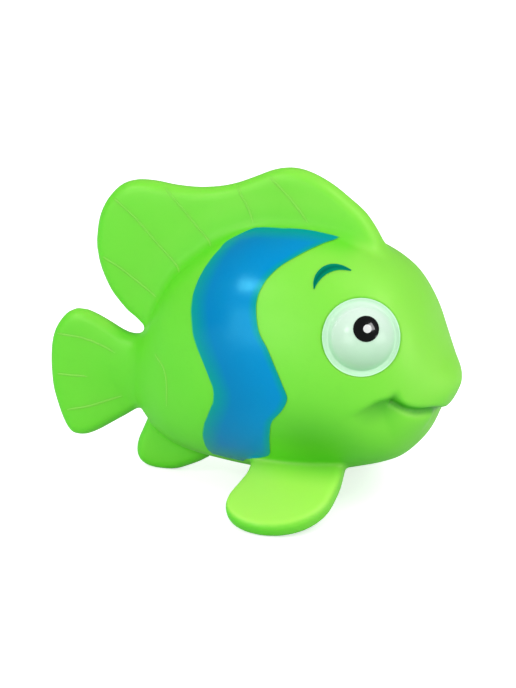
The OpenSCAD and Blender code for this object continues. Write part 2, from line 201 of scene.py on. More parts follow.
# Brow, from its lower end to its forward end: place and angle of the upper edge, then of the
# lower edge
BROW_SHARES = (
    (0.2050, 46.6, 0.2068, 46.8), (0.2013, 42.6, 0.2103, 43.8), (0.2044, 37.9, 0.2191, 39.6),
    (0.2151, 33.4, 0.2305, 36.2), (0.2315, 30.3, 0.2458, 33.3), (0.2529, 29.0, 0.2598, 31.6),
    (0.2747, 29.6, 0.2737, 30.4),
)
# Mouth line from its corner to the midplane, and the crease that runs back from the corner
# under the cheek: place, angle from the top in the section
MOUTH_SHARES = (
    (0.3870, 93.9), (0.4095, 98.9), (0.4340, 105.8), (0.4560, 115.4), (0.4655, 128.5),
    (0.4685, 144), (0.4693, 162), (0.4695, 180),
)
CHEEK_SHARES = (
    (0.4091, 88.7), (0.3982, 90.8), (0.3888, 93.6), (0.3631, 96.3), (0.3393, 100), (0.3080, 103.5),
    (0.2760, 106.5),
)
# The eye's middle on the cheek: place and angle in the section
EYE_SHARES = (0.3215, 64.0)
# Smallest square of a slope that a point is brought onto the surface by
LEAST_SLOPE = 0.2
# Share of half a fin's thickness by which it is thinner at its rim
RIM_LOSS_SHARE = 0.2
# Fin rays as places in the midplane: shares of the length and of the height
RAY_SHARES = {
    "dorsal": (
        ((-0.352, 0.672), (-0.310, 0.645), (-0.266, 0.608), (-0.218, 0.568)),
        ((-0.324, 0.862), (-0.270, 0.808), (-0.215, 0.735), (-0.155, 0.661)),
        ((-0.198, 0.908), (-0.155, 0.855), (-0.119, 0.804), (-0.078, 0.752)),
        ((-0.026, 0.938), (-0.003, 0.893), (0.008, 0.868), (0.019, 0.832)),
        ((0.057, 0.972), (0.091, 0.933), (0.119, 0.895), (0.148, 0.850)),
    ),
    "tail": (
        ((-0.476, 0.405), (-0.416, 0.403), (-0.370, 0.391), (-0.324, 0.369)),
        ((-0.476, 0.273), (-0.439, 0.275), (-0.398, 0.278)),
        ((-0.454, 0.158), (-0.400, 0.179), (-0.364, 0.199), (-0.310, 0.231)),
    ),
    "flank": (((-0.192, 0.424), (-0.163, 0.395), (-0.153, 0.346), (-0.157, 0.272)),),
}


def smooth(table: tuple | np.ndarray, at: np.ndarray, column: int) -> np.ndarray:
    """Follows a smooth curve through a table whose first column rises.

    Args:
        table: Rows of numbers.
        at: Values of the first column to read the curve at.
        column: The column that is read.

    Returns:
        The curve's values, in the shape of at.
    """
    rows = np.asarray(table, float)
    key, value = rows[:, 0], rows[:, column]
    before = np.clip(np.arange(len(rows)) - 1, 0, None)
    after = np.clip(np.arange(len(rows)) + 1, None, len(rows) - 1)
    slope = (value[after] - value[before]) / (key[after] - key[before])
    at = np.asarray(at, float)
    i = np.clip(np.searchsorted(key, at, side="right") - 1, 0, len(rows) - 2)
    step = key[i + 1] - key[i]
    u = np.clip((at - key[i]) / step, 0, 1)
    return (
        (2 * u**3 - 3 * u**2 + 1) * value[i]
        + (u**3 - 2 * u**2 + u) * step * slope[i]
        + (3 * u**2 - 2 * u**3) * value[i + 1]
        + (u**3 - u**2) * step * slope[i + 1]
    )


def numbered(table: tuple) -> np.ndarray:
    """A table whose rows are numbered, so that it can be followed row by row."""
    rows = np.asarray(table, float)
    return np.column_stack([np.arange(len(rows)), rows])


def unit(vectors: np.ndarray) -> np.ndarray:
    """The vectors, each brought to length 1."""
    return vectors / np.maximum(np.linalg.norm(vectors, axis=-1, keepdims=True), TINY)


def plane_axes(facing: np.ndarray) -> tuple[np.ndarray, np.ndarray]:
    """The directions ahead and up in the plane that faces a direction."""
    ahead = unit(np.cross(facing, [0.0, 0.0, 1.0]))
    return ahead, np.cross(ahead, facing)


def ease(value: np.ndarray) -> np.ndarray:
    """A smooth step from 0 to 1 for values from 0 to 1, clamped outside."""
    u = np.clip(value, 0, 1)
    return u * u * (3 - 2 * u)


def passing(value: np.ndarray, start: float, run: float) -> np.ndarray:
    """A smooth step from 0 at start to 1 a run further on. The run may be negative."""
    return ease((value - start) / run)


def bell(value: np.ndarray, width: float) -> np.ndarray:
    """A bell curve of height 1 round 0, which has fallen to about a third at its width."""
    return np.exp(-((value / width) ** 2))


def soften(values: np.ndarray, turns: int) -> np.ndarray:
    """Evens out the values of a grid with their neighbours.

    Args:
        values: The grid's values.
        turns: How often it is done.

    Returns:
        The evened values.
    """
    for _ in range(turns):
        for axis, size in enumerate(values.shape):
            places = np.arange(size)
            ahead = np.take(values, np.minimum(places + 1, size - 1), axis)
            behind = np.take(values, np.maximum(places - 1, 0), axis)
            values = (ahead + 2 * values + behind) / 4
    return values


def between(values: np.ndarray, u: np.ndarray, v: np.ndarray) -> np.ndarray:
    """Reads a flat grid between its points, by their four neighbours.

    Args:
        values: The grid's values.
        u: Places along its first axis, counted in steps of the grid.
        v: Places along its second axis.

    Returns:
        The values there.
    """
    i = np.clip(np.floor(u).astype(int), 0, values.shape[0] - 2)
    j = np.clip(np.floor(v).astype(int), 0, values.shape[1] - 2)
    a, b = np.clip(u - i, 0, 1), np.clip(v - j, 0, 1)
    near = values[i, j] * (1 - a) + values[i + 1, j] * a
    far = values[i, j + 1] * (1 - a) + values[i + 1, j + 1] * a
    return near * (1 - b) + far * b


def join(a: np.ndarray, b: np.ndarray, fillet: float) -> np.ndarray:
    """The union of two distance fields, with a fillet in the corner between them."""
    near = np.maximum(fillet - np.abs(a - b), 0) / fillet
    return np.minimum(a, b) - near * near * fillet / 4


def cut(a: np.ndarray, b: np.ndarray, rounding: float) -> np.ndarray:
    """Distance field a with b taken away, and the edge between them rounded."""
    return -join(-a, b, rounding)


def slab(edge: np.ndarray, across: np.ndarray, half: float, rim: float) -> np.ndarray:
    """Distance to a flat fin with a rounded rim, which grows a little thinner towards it.

    Args:
        edge: Distance to the fin's outline in its own plane, negative inside.
        across: Distance from that plane.
        half: Half of the fin's thickness.
        rim: Radius of the rim's rounding.

    Returns:
        Distances, negative inside.
    """
    out = edge + rim
    up = np.abs(across) - (half - rim) + RIM_LOSS_SHARE * half * np.exp(np.minimum(edge, 0) / half)
    return np.hypot(np.maximum(out, 0), np.maximum(up, 0)) + np.minimum(np.maximum(out, up), 0) - rim


def outline_distance(outline: np.ndarray, u: np.ndarray, v: np.ndarray) -> np.ndarray:
    """Distance of points in a plane to a closed outline, negative inside.

    Args:
        outline: The outline's points, in order, without a repeated end.
        u: First coordinates of the points.
        v: Second coordinates of the points.

    Returns:
        Distances in the shape of u and v together.
    """
    u, v = np.broadcast_arrays(u, v)
    best = np.full(u.shape, FAR)
    inside = np.zeros(u.shape, bool)
    for start, end in zip(outline, np.roll(outline, -1, axis=0), strict=True):
        run = end - start
        along = (u - start[0]) * run[0] + (v - start[1]) * run[1]
        share = np.clip(along / max(run @ run, TINY), 0, 1)
        best = np.minimum(best, np.hypot(u - start[0] - share * run[0], v - start[1] - share * run[1]))
        if start[1] != end[1]:
            crosses = (start[1] > v) != (end[1] > v)
            inside ^= crosses & (u < start[0] + (v - start[1]) * run[0] / run[1])
    return np.where(inside, -best, best)


@dataclass(frozen=True)
class BodyForm:
    """The body's skin, without its fins, as smooth sections from tail to nose."""

    sizes: Sizes

    def point(self, place: np.ndarray, angle: np.ndarray) -> np.ndarray:
        """Finds points of the skin on the left side.

        Args:
            place: Places along the length, as shares of it.
            angle: Angles from the top of the section towards the left, in degrees.

        Returns:
            Points in a last axis of three.
        """
        place, angle = np.broadcast_arrays(np.asarray(place, float), np.asarray(angle, float))
        low = self.sizes.height * smooth(BODY_SHARES, place, 1)
        high = self.sizes.height * smooth(BODY_SHARES, place, 2)
        side = self.sizes.body_width / 2 * smooth(BODY_SHARES, place, 3)
        middle = low + WIDEST_SHARE * (high - low)
        sine, cosine = np.sin(np.radians(angle)), np.cos(np.radians(angle))
        reach = np.where(cosine >= 0, high - middle, middle - low)
        across = side * np.sign(sine) * np.abs(sine) ** ROUND_SHARE
        upwards = middle + reach * np.sign(cosine) * np.abs(cosine) ** ROUND_SHARE
        return np.stack([self.sizes.length * place, across, upwards], axis=-1)

    def normal(self, place: np.ndarray, angle: np.ndarray) -> np.ndarray:
        """Finds the directions square to the skin, from points a small step to each side.

        Args:
            place: Places along the length, as shares of it.
            angle: Angles from the top of the section, in degrees.

        Returns:
            Directions outwards, of length 1.
        """
        step, turn = 0.004, 0.8
        ahead = self.point(place + step, angle) - self.point(place - step, angle)
        down = self.point(place, angle + turn) - self.point(place, angle - turn)
        return unit(np.cross(down, ahead))

    def mesh(self, rings: int = 150, sides: int = 120) -> tuple[np.ndarray, np.ndarray]:
        """A closed mesh of the skin.

        Args:
            rings: Number of sections.
            sides: Number of points round each.

        Returns:
            The points, and the quads as rows of four indices.
        """
        tail, nose = BODY_SHARES[0][0], BODY_SHARES[-1][0]
        places = tail + (nose - tail) * np.sin(np.linspace(0, math.pi / 2, rings))
        angles = np.arange(sides) * 360 / sides
        points = self.point(places[:, None], angles[None, :]).reshape(-1, 3)
        i, k = np.meshgrid(np.arange(rings - 1), np.arange(sides), indexing="ij")
        a, b = i * sides + k, i * sides + (k + 1) % sides
        quads = np.stack([a, b, b + sides, a + sides], -1).reshape(-1, 4)
        ends = len(points) + np.arange(2)
        points = np.vstack([points, points[:sides].mean(0), points[-sides:].mean(0)])
        k = np.arange(sides)
        ahead = (k + 1) % sides
        last = (rings - 1) * sides
        caps = [
            np.stack([one, two, np.full(sides, end), np.full(sides, end)], -1)
            for one, two, end in ((ahead, k, ends[0]), (last + k, last + ahead, ends[1]))
        ]
        return points, np.vstack([quads, *caps])


@dataclass
class Lattice:
    """A regular grid of points over the toy's left half, and a little of its right half."""

    pitch: float
    first: tuple[int, int, int] = (0, 0, 0)
    shape: tuple[int, int, int] = (1, 1, 1)

    @classmethod
    def over(cls, sizes: Sizes, pitch: float, margin: float = 2.0) -> "Lattice":
        """A grid over the moulding's left half, from the midplane out.

        Args:
            sizes: The toy's sizes.
            pitch: Distance between the grid's points.
            margin: Room left round the toy.

        Returns:
            The grid.
        """
        low = [-sizes.length / 2 - margin, 0.0, -margin]
        high = [sizes.length / 2 + margin, sizes.pectoral_reach + 2 * margin, sizes.height + margin]
        first = [math.floor(v / pitch) for v in low]
        last = [math.ceil(v / pitch) for v in high]
        return cls(pitch, tuple(first), tuple(b - a + 1 for a, b in zip(first, last, strict=True)))

    def axes(self) -> tuple[np.ndarray, np.ndarray, np.ndarray]:
        """The X, Y and Z of the grid's planes, each shaped to fill the grid."""
        lines = [(f + np.arange(n)) * self.pitch for f, n in zip(self.first, self.shape, strict=True)]
        return lines[0][:, None, None], lines[1][None, :, None], lines[2][None, None, :]

    def distance(self, points: np.ndarray, quads: np.ndarray, reach: float) -> np.ndarray:
        """Distances to a closed mesh, negative inside, no further than reach.

        Args:
            points: The mesh's points.
            quads: Its faces.
            reach: The largest distance that is measured.

        Returns:
            An array in the grid's shape.
        """
        grid = openvdb.FloatGrid.createLevelSetFromPolygons(
            points.astype(np.float32),
            quads=quads.astype(np.uint32),
            transform=openvdb.createLinearTransform(voxelSize=self.pitch),
            halfWidth=reach / self.pitch,
        )
        found = np.empty(self.shape, np.float32)
        grid.copyToArray(found, ijk=self.first)
        return found.astype(float)


@dataclass
class Form:
    """Distances to the toy's outer form over both halves, which meshes and paint are laid on."""

    lattice: Lattice
    half: np.ndarray
    whole: np.ndarray = field(init=False)
    slopes: list[np.ndarray] = field(init=False)
    first: np.ndarray = field(init=False)

    def __post_init__(self) -> None:
        """Mirrors the left half and works out the slopes."""
        self.whole = np.concatenate([self.half[:, :0:-1, :], self.half], axis=1)
        self.first = np.array(self.lattice.first) - np.array([0, self.lattice.shape[1] - 1, 0])
        self.slopes = np.gradient(self.whole, self.lattice.pitch)

    def read(self, values: np.ndarray, points: np.ndarray) -> np.ndarray:
        """Reads an array of the grid between its points, by their eight neighbours.

        Args:
            values: The array.
            points: The places to read it at.

        Returns:
            One value for each point.
        """
        spot = points / self.lattice.pitch - self.first
        top = np.array(values.shape) - 2
        cell = np.clip(np.floor(spot).astype(int), 0, top)
        share = np.clip(spot - cell, 0, 1)
        total = np.zeros(points.shape[:-1])
        for corner in np.ndindex(2, 2, 2):
            weight = np.prod(np.where(corner, share, 1 - share), axis=-1)
            i, j, k = (cell[..., n] + corner[n] for n in range(3))
            total += weight * values[i, j, k]
        return total

    def height(self, points: np.ndarray) -> np.ndarray:
        """Height of points over the surface."""
        return self.read(self.whole, points)

    def normal(self, points: np.ndarray) -> np.ndarray:
        """Directions square to the surface, outwards."""
        return unit(np.stack([self.read(s, points) for s in self.slopes], -1))

    def settle(self, points: np.ndarray, turns: int = 4) -> np.ndarray:
        """Brings points straight onto the surface from close by.

        Args:
            points: The points.
            turns: How often the way to the surface is followed.

        Returns:
            Points on the surface.
        """
        for _ in range(turns):
            slope = np.stack([self.read(s, points) for s in self.slopes], -1)
            size = np.maximum((slope**2).sum(-1, keepdims=True), LEAST_SLOPE)
            points = points - self.height(points)[..., None] * slope / size
        return points

    def cast(self, points: np.ndarray, along: np.ndarray, before: float, after: float) -> np.ndarray:
        """Moves points along a direction to where they first meet the surface.

        Args:
            points: Points near the surface.
            along: The direction, into the surface.
            before: How far back the search starts.
            after: How far ahead it ends.

        Returns:
            The points where the surface is met.
        """
        steps = np.arange(-before, after, self.lattice.pitch / 3)
        heights = np.stack([self.height(points + along * s) for s in steps], 0)
        inside = heights <= 0
        hit = np.clip(np.argmax(inside, axis=0), 1, None)
        above = np.take_along_axis(heights, (hit - 1)[None], 0)[0]
        below = np.take_along_axis(heights, hit[None], 0)[0]
        share = np.clip(above / np.maximum(above - below, TINY), 0, 1)
        travel = steps[hit - 1] + share * (steps[1] - steps[0])
        return points + along * travel[..., None]


@dataclass
class Pattern:
    """The shader nodes of a material or a world, with short ways to add to them."""

    owner: bpy.types.Material | bpy.types.World

    @classmethod
    def of(cls, owner: bpy.types.Material | bpy.types.World) -> "Pattern":
        """Empties the owner's tree.

        Args:
            owner: A new material or world.

        Returns:
            Its pattern, without nodes.
        """
        owner.use_nodes = True
        owner.node_tree.nodes.clear()
        return cls(owner)

    @classmethod
    def named(cls, name: str) -> "Pattern":
        """A new material's pattern."""
        return cls.of(bpy.data.materials.new(name))

    def add(self, kind: str, settings: dict | None = None, **inputs: object) -> bpy.types.Node:
        """Adds a node.

        Args:
            kind: The node's Blender type.
            settings: Its properties.
            inputs: Values or sockets by input name, with _ for a blank.

        Returns:
            The node.
        """
        node = self.owner.node_tree.nodes.new(kind)
        for key, value in (settings or {}).items():
            setattr(node, key, value)
        for key, value in inputs.items():
            self.set(node.inputs[key.replace("_", " ")], value)
        return node

    def set(self, socket: bpy.types.NodeSocket, value: object) -> None:
        """Gives a socket a value, or links it to another socket.

        Args:
            socket: The input.
            value: A number, a colour, or the output that feeds it.
        """
        if isinstance(value, bpy.types.NodeSocket):
            self.owner.node_tree.links.new(value, socket)
        elif isinstance(value, tuple) and len(value) == 3 and socket.type == "RGBA":
            socket.default_value = (*value, 1.0)
        else:
            socket.default_value = value

    def place(self) -> bpy.types.NodeSocket:
        """The point on the object, in its own coordinates."""
        return self.add("ShaderNodeTexCoord").outputs["Object"]

    def attribute(self, name: str) -> bpy.types.NodeSocket:
        """A value that the mesh carries at its points."""
        return self.add("ShaderNodeAttribute", {"attribute_name": name}).outputs["Fac"]

    def noise(self, scale: float, detail: float = 2.0, seed: float = 0.0) -> bpy.types.NodeSocket:
        """Soft noise with a mean of about a half.

        Args:
            scale: Number of waves a metre.
            detail: How many finer layers it has.
            seed: Which noise it is.

        Returns:
            The noise's value.
        """
        node = self.add(
            "ShaderNodeTexNoise",
            {"noise_dimensions": "4D"},
            Vector=self.place(),
            W=seed,
            Scale=scale,
            Detail=detail,
        )
        return node.outputs["Fac"]

    def spread(
        self, value: object, low: float, high: float, start: float, end: float
    ) -> bpy.types.NodeSocket:
        """Maps a value from one range onto another, clamped.

        Args:
            value: The value or its socket.
            low: Value that gives start.
            high: Value that gives end.
            start: Result at low.
            end: Result at high.

        Returns:
            The result.
        """
        node = self.add("ShaderNodeMapRange", Value=value)
        for n, number in enumerate((low, high, start, end), 1):
            node.inputs[n].default_value = number
        return node.outputs["Result"]

    def mix(self, share: object, a: object, b: object, blend: str = "MIX") -> bpy.types.NodeSocket:
        """Mixes two colours.

        Args:
            share: Share of the second colour.
            a: The first colour.
            b: The second colour.
            blend: How they are mixed.

        Returns:
            The mixed colour.
        """
        node = self.add("ShaderNodeMix", {"data_type": "RGBA", "blend_type": blend})
        for place, value in ((0, share), (6, a), (7, b)):
            self.set(node.inputs[place], value)
        return node.outputs[2]

    def bump(self, height: object, strength: float, distance: float) -> bpy.types.NodeSocket:
        """A bumped normal from a height, whose full size is distance in metres."""
        node = self.add("ShaderNodeBump", Height=height, Strength=strength, Distance=distance)
        return node.outputs["Normal"]

    def feed(self, node: bpy.types.Node, *values: object) -> bpy.types.NodeSocket:
        """Gives a node's inputs their values in turn.

        Args:
            node: The node.
            values: One value or socket for each of its first inputs.

        Returns:
            The node's first output.
        """
        for socket, value in zip(node.inputs, values):
            self.set(socket, value)
        return node.outputs[0]

    def finish(self, **inputs: object) -> bpy.types.Material:
        """Adds the surface shader and the output.

        Args:
            inputs: The shader's inputs by name.

        Returns:
            The material.
        """
        shader = self.add("ShaderNodeBsdfPrincipled", **inputs)
        self.add("ShaderNodeOutputMaterial", Surface=shader.outputs["BSDF"])
        return self.owner


@dataclass(frozen=True)
class Grain:
    """Soft noise, brought from a range of its values onto a range of results.

    Attributes:
        scale: Number of waves a metre.
        detail: How many finer layers it has.
        seed: Which noise it is.
        low: Value of the noise that gives start.
        high: Value of the noise that gives end.
        start: Result at low.
        end: Result at high.
    """

    scale: float
    detail: float = 2.0
    seed: float = 0.0
    low: float = 0.3
    high: float = 0.7
    start: float = 0.0
    end: float = 1.0

    def on(self, pattern: Pattern, base: float = 0.0) -> bpy.types.NodeSocket:
        """Adds the noise to a pattern.

        Args:
            pattern: The pattern.
            base: Number that both results are raised by.

        Returns:
            The result.
        """
        noise = pattern.noise(self.scale, self.detail, self.seed)
        return pattern.spread(noise, self.low, self.high, self.start + base, self.end + base)


@dataclass(frozen=True)
class Relief:
    """A fine unevenness of a surface.

    Attributes:
        scale: Number of waves a metre.
        detail: How many finer layers it has.
        seed: Which noise it is.
        strength: How strongly it shows.
        depth: Its full height in metres.
    """

    scale: float
    detail: float
    seed: float
    strength: float
    depth: float = 0.0001

    def on(self, pattern: Pattern) -> bpy.types.NodeSocket:
        """Adds the unevenness to a pattern and returns the normal."""
        return pattern.bump(pattern.noise(self.scale, self.detail, self.seed), self.strength, self.depth)


def linear(red: int, green: int, blue: int) -> Colour:
    """Turns a colour into the linear numbers that shaders take.

    Args:
        red: Its red, from 0 to 255.
        green: Its green.
        blue: Its blue.

    Returns:
        The linear colour.
    """

    def one(value: int) -> float:
        """One number of the colour, by the standard curve for screens."""
        share = value / 255
        return share / 12.92 if share <= 0.04045 else ((share + 0.055) / 1.055) ** 2.4

    return one(red), one(green), one(blue)


@dataclass(frozen=True)
class VinylFinish:
    """Green vinyl, coloured right through, satin, with a fine skin from the mould, and with painted light
    and shade.
    """

    name: str = "green_vinyl"
    body: Colour = linear(86, 208, 26)
    warm: Colour = linear(91, 211, 29)
    deep: Colour = linear(78, 202, 22)
    # Colour of the painted light on faces turned towards the light
    fair: Colour = linear(130, 216, 62)
    # Colour of the painted light on the upper faces of the pectoral fins
    thin: Colour = linear(156, 228, 78)
    # Colour of the painted shade in creases and under the cheek
    creased: Colour = linear(46, 164, 10)
    roughness: float = 0.46
    shine: float = 0.8
    gleam: Colour = (1.0, 1.0, 0.6)
    glow: float = 0.4
    glow_reach: Colour = (0.5, 1.0, 0.25)
    glow_depth: float = 0.003
    clouds: Grain = Grain(26.0, low=0.35, high=0.65)
    specks: Grain = Grain(420.0, seed=3.0, low=0.30, high=0.46, start=0.22, end=0.0)
    wear: Grain = Grain(90.0, 3.0, 7.0, start=-0.04, end=0.05)
    skin: Relief = Relief(700.0, 3.0, 11.0, 0.12)

    def material(self) -> bpy.types.Material:
        """Builds the material.

        The mesh's attributes are 1 where painted light pales the vinyl, on faces turned to the light and on
        the pectoral fins' upper faces, and where painted shade darkens it, in creases and under the cheek.

        Returns:
            The material.
        """
        p = Pattern.named(self.name)
        tone = p.mix(self.clouds.on(p), self.body, self.warm)
        tone = p.mix(self.specks.on(p), tone, self.deep)
        # Painted light: paler green on faces turned towards the light
        tone = p.mix(p.attribute("fair"), tone, self.fair)
        # Painted light: paler green on the upper faces of the pectoral fins
        tone = p.mix(p.attribute("thin"), tone, self.thin)
        # Painted shade: darker green in creases and under the cheek
        tone = p.mix(p.attribute("creased"), tone, self.creased)
        return p.finish(
            Base_Color=tone,
            Roughness=self.wear.on(p, self.roughness),
            Normal=self.skin.on(p),
            Specular_IOR_Level=self.shine,
            Specular_Tint=self.gleam,
            Subsurface_Weight=self.glow,
            Subsurface_Radius=self.glow_reach,
            Subsurface_Scale=self.glow_depth,
        )


@dataclass(frozen=True)
class SprayFinish:
    """Sprayed vinyl paint that fades through an edge colour into the vinyl.

    Attributes:
        name: The material's name.
        core: Colour of full paint.
        lift: Colour that it passes into where the mesh says so.
        edge: Colour near its rim.
        vinyl: Colour of the vinyl under it.
        gleam: Tint of its reflections.
        roughness: How matt it is.
        fade: Edge value under which it is only mist.
        bare: Share of vinyl that shows at its very rim.
        shine: Strength of its reflections.
        mist: Unevenness of its colour.
        drift: Unevenness of its edge.
        grain_waves: Number of waves a metre in the unevenness of its colour.
        wear: Unevenness of its roughness.
        skin: Unevenness of its surface.
    """

    name: str
    core: Colour
    lift: Colour
    edge: Colour
    vinyl: Colour = linear(86, 208, 26)
    gleam: Colour = (0.15, 0.9, 1.0)
    roughness: float = 0.22
    fade: float = 0.06
    bare: float = 0.75
    shine: float = 0.36
    mist: float = 0.03
    drift: Grain = Grain(160.0, 3.0, 2.0, start=-0.05, end=0.05)
    grain_waves: float = 1300.0
    wear: Grain = Grain(240.0, 3.0, 9.0, start=-0.04, end=0.05)
    skin: Relief = Relief(900.0, 3.0, 13.0, 0.10)

    def material(self) -> bpy.types.Material:
        """Builds the material.

        The mesh's edge is 0 at its rim and 1 well inside, and its lift says where the paint
        passes into its second colour.

        Returns:
            The material.
        """
        p = Pattern.named(self.name)
        edge = p.feed(p.add("ShaderNodeMath", {"operation": "ADD"}), p.attribute("edge"), self.drift.on(p))
        core = p.mix(p.attribute("lift"), self.core, self.lift)
        tone = p.mix(p.spread(edge, self.fade, 1.0, 0.0, 1.0), self.edge, core)
        tone = p.mix(p.spread(edge, 0.0, self.fade, self.bare, 0.0), tone, self.vinyl)
        mist = Grain(self.grain_waves, seed=5.0, start=1 - self.mist).on(p)
        tone = p.mix(1.0, tone, mist, "MULTIPLY")
        return p.finish(
            Base_Color=tone,
            Roughness=self.wear.on(p, self.roughness),
            Normal=self.skin.on(p),
            Specular_IOR_Level=self.shine,
            Specular_Tint=self.gleam,
        )


@dataclass(frozen=True)
class PadFinish:
    """Glossy pad-printed paint, with faint unevenness."""

    name: str
    tone: Colour
    thin: Colour
    roughness: float = 0.2
    shine: float = 0.1
    coat: float = 1.0
    coat_roughness: float = 0.08
    patches: Grain = Grain(800.0, seed=4.0, low=0.4, high=0.75, end=0.5)
    wear: Grain = Grain(300.0, seed=6.0, start=-0.03, end=0.05)
    skin: Relief = Relief(1500.0, 2.0, 8.0, 0.05)

    def material(self) -> bpy.types.Material:
        """Builds the material.

        Returns:
            The material.
        """
        p = Pattern.named(self.name)
        return p.finish(
            Base_Color=p.mix(self.patches.on(p), self.tone, self.thin),
            Roughness=self.wear.on(p, self.roughness),
            Normal=self.skin.on(p),
            Specular_IOR_Level=self.shine,
            Coat_Weight=self.coat,
            Coat_Roughness=self.coat_roughness,
        )


@dataclass(frozen=True)
class PlasticFinish:
    """Moulded plastic of the squeaker, with flow marks and a fine satin grain.

    Attributes:
        name: The material's name.
        tone: Its colour.
        shade: Colour of the flow marks.
        roughness: How matt it is.
        clear: Share of light that passes through.
        refraction: Its index of refraction.
        flow_waves: Scale of the flow marks.
        flow_bend: How much they bend.
        flow_share: Share of their colour at the most.
        wear: Unevenness of its roughness.
        skin: Unevenness of its surface.
    """

    name: str
    tone: Colour
    shade: Colour
    roughness: float = 0.42
    clear: float = 0.0
    refraction: float = 1.49
    flow_waves: float = 90.0
    flow_bend: float = 3.0
    flow_share: float = 0.35
    wear: Grain = Grain(500.0, seed=1.0, start=-0.06, end=0.06)
    skin: Relief = Relief(2200.0, 2.0, 2.0, 0.15)

    def material(self) -> bpy.types.Material:
        """Builds the material.

        Returns:
            The material.
        """
        p = Pattern.named(self.name)
        flow = p.add(
            "ShaderNodeTexWave",
            {"wave_type": "RINGS", "rings_direction": "Z"},
            Vector=p.place(),
            Scale=self.flow_waves,
            Distortion=self.flow_bend,
            Detail=2.0,
        )
        share = p.spread(flow.outputs["Fac"], 0.0, 1.0, 0.0, self.flow_share)
        return p.finish(
            Base_Color=p.mix(share, self.tone, self.shade),
            Roughness=self.wear.on(p, self.roughness),
            Normal=self.skin.on(p),
            IOR=self.refraction,
            Transmission_Weight=self.clear,
        )


# The toy's finishes
BODY_VINYL = VinylFinish()
# Fin rays: a paler green than the body, as a painted highlight along their ridges
RAY_VINYL_PAINTED_HIGHLIGHT = VinylFinish("ray_vinyl_painted_highlight", linear(112, 223, 56), linear(118, 226, 60), linear(104, 217, 50))
BAND_PAINT = SprayFinish("band_paint", linear(0, 119, 174), linear(0, 132, 190), linear(0, 148, 138))
BROW_PAINT = SprayFinish(
    "brow_paint",
    linear(0, 90, 72),
    linear(0, 106, 86),
    linear(0, 132, 96),
    fade=0.03,
    shine=0.12,
)
# Eye white: its darker core and paler lift are painted shade and painted light on the dome
WHITE_PAINT = SprayFinish(
    "eye_white_paint",
    linear(156, 208, 164),
    linear(214, 226, 217),
    linear(200, 238, 205),
    gleam=(1.0, 1.0, 1.0),
    fade=0.004,
    mist=0.01,
)
PUPIL_PAINT = PadFinish("pupil_paint", linear(4, 5, 5), linear(10, 10, 9))
GLINT_PAINT = PadFinish("glint_paint", linear(206, 208, 205), linear(196, 198, 195), coat=0.1)
SQUEAKER_PLASTIC = PlasticFinish("squeaker_plastic", linear(236, 236, 228), linear(222, 223, 214))
REED_FILM = PlasticFinish("reed_film", linear(214, 224, 232), linear(198, 212, 224), 0.2, 0.55)


def make_piece(
    name: str,
    points: np.ndarray,
    faces: np.ndarray | list,
    material: bpy.types.Material,
    normals: np.ndarray | None = None,
    values: dict[str, np.ndarray] | None = None,
) -> bpy.types.Object:
    """Makes a smooth mesh object.

    Args:
        name: The piece's name.
        points: Its points, in millimetres.
        faces: Rows of indices, each turned outwards.
        material: Its finish.
        normals: Directions for shading at the points, if they are known.
        values: Numbers that the mesh carries at its points, by name.

    Returns:
        The object, at the origin.
    """
    mesh = bpy.data.meshes.new(name)
    mesh.from_pydata((points * MM).tolist(), [], [list(map(int, f)) for f in faces])
    mesh.polygons.foreach_set("use_smooth", np.ones(len(mesh.polygons), bool))
    for key, numbers in (values or {}).items():
        mesh.attributes.new(key, "FLOAT", "POINT").data.foreach_set("value", numbers.astype(np.float32))
    mesh.materials.append(material)
    mesh.validate()
    if normals is not None:
        mesh.normals_split_custom_set_from_vertices(normals.tolist())
    piece = bpy.data.objects.new(name, mesh)
    bpy.context.scene.collection.objects.link(piece)
    return piece


@dataclass
class Squeeze:
    """Puts the dressed pieces under the bodies that they ride on."""

    sizes: Sizes

    def dress(self, piece: bpy.types.Object, slot: Slot, *nodes: str) -> None:
        """Puts a piece under the moulding's body and hides the solids that it stands for.

        Args:
            piece: The piece.
            slot: Its material slot. Not used.
            nodes: The solids that it stands for.
        """
        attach(piece, "moulding")
        if nodes:
            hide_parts(*nodes)
        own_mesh(piece)
        LOG.info("%s: %d faces", piece.name, len(piece.data.polygons))

    def dress_side(self, piece: bpy.types.Object, side: Side, slot: Slot, node: str) -> None:
        """Lets a film of paint travel with its side, and hides the solid that it stands for.

        Args:
            piece: The film.
            side: The side that it is on.
            slot: Its material slot. Not used.
            node: The solid that it stands for.
        """
        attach(piece, f"{side.word}_side")
        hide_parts(node)
        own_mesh(piece)
        LOG.info("%s: %d faces", piece.name, len(piece.data.polygons))


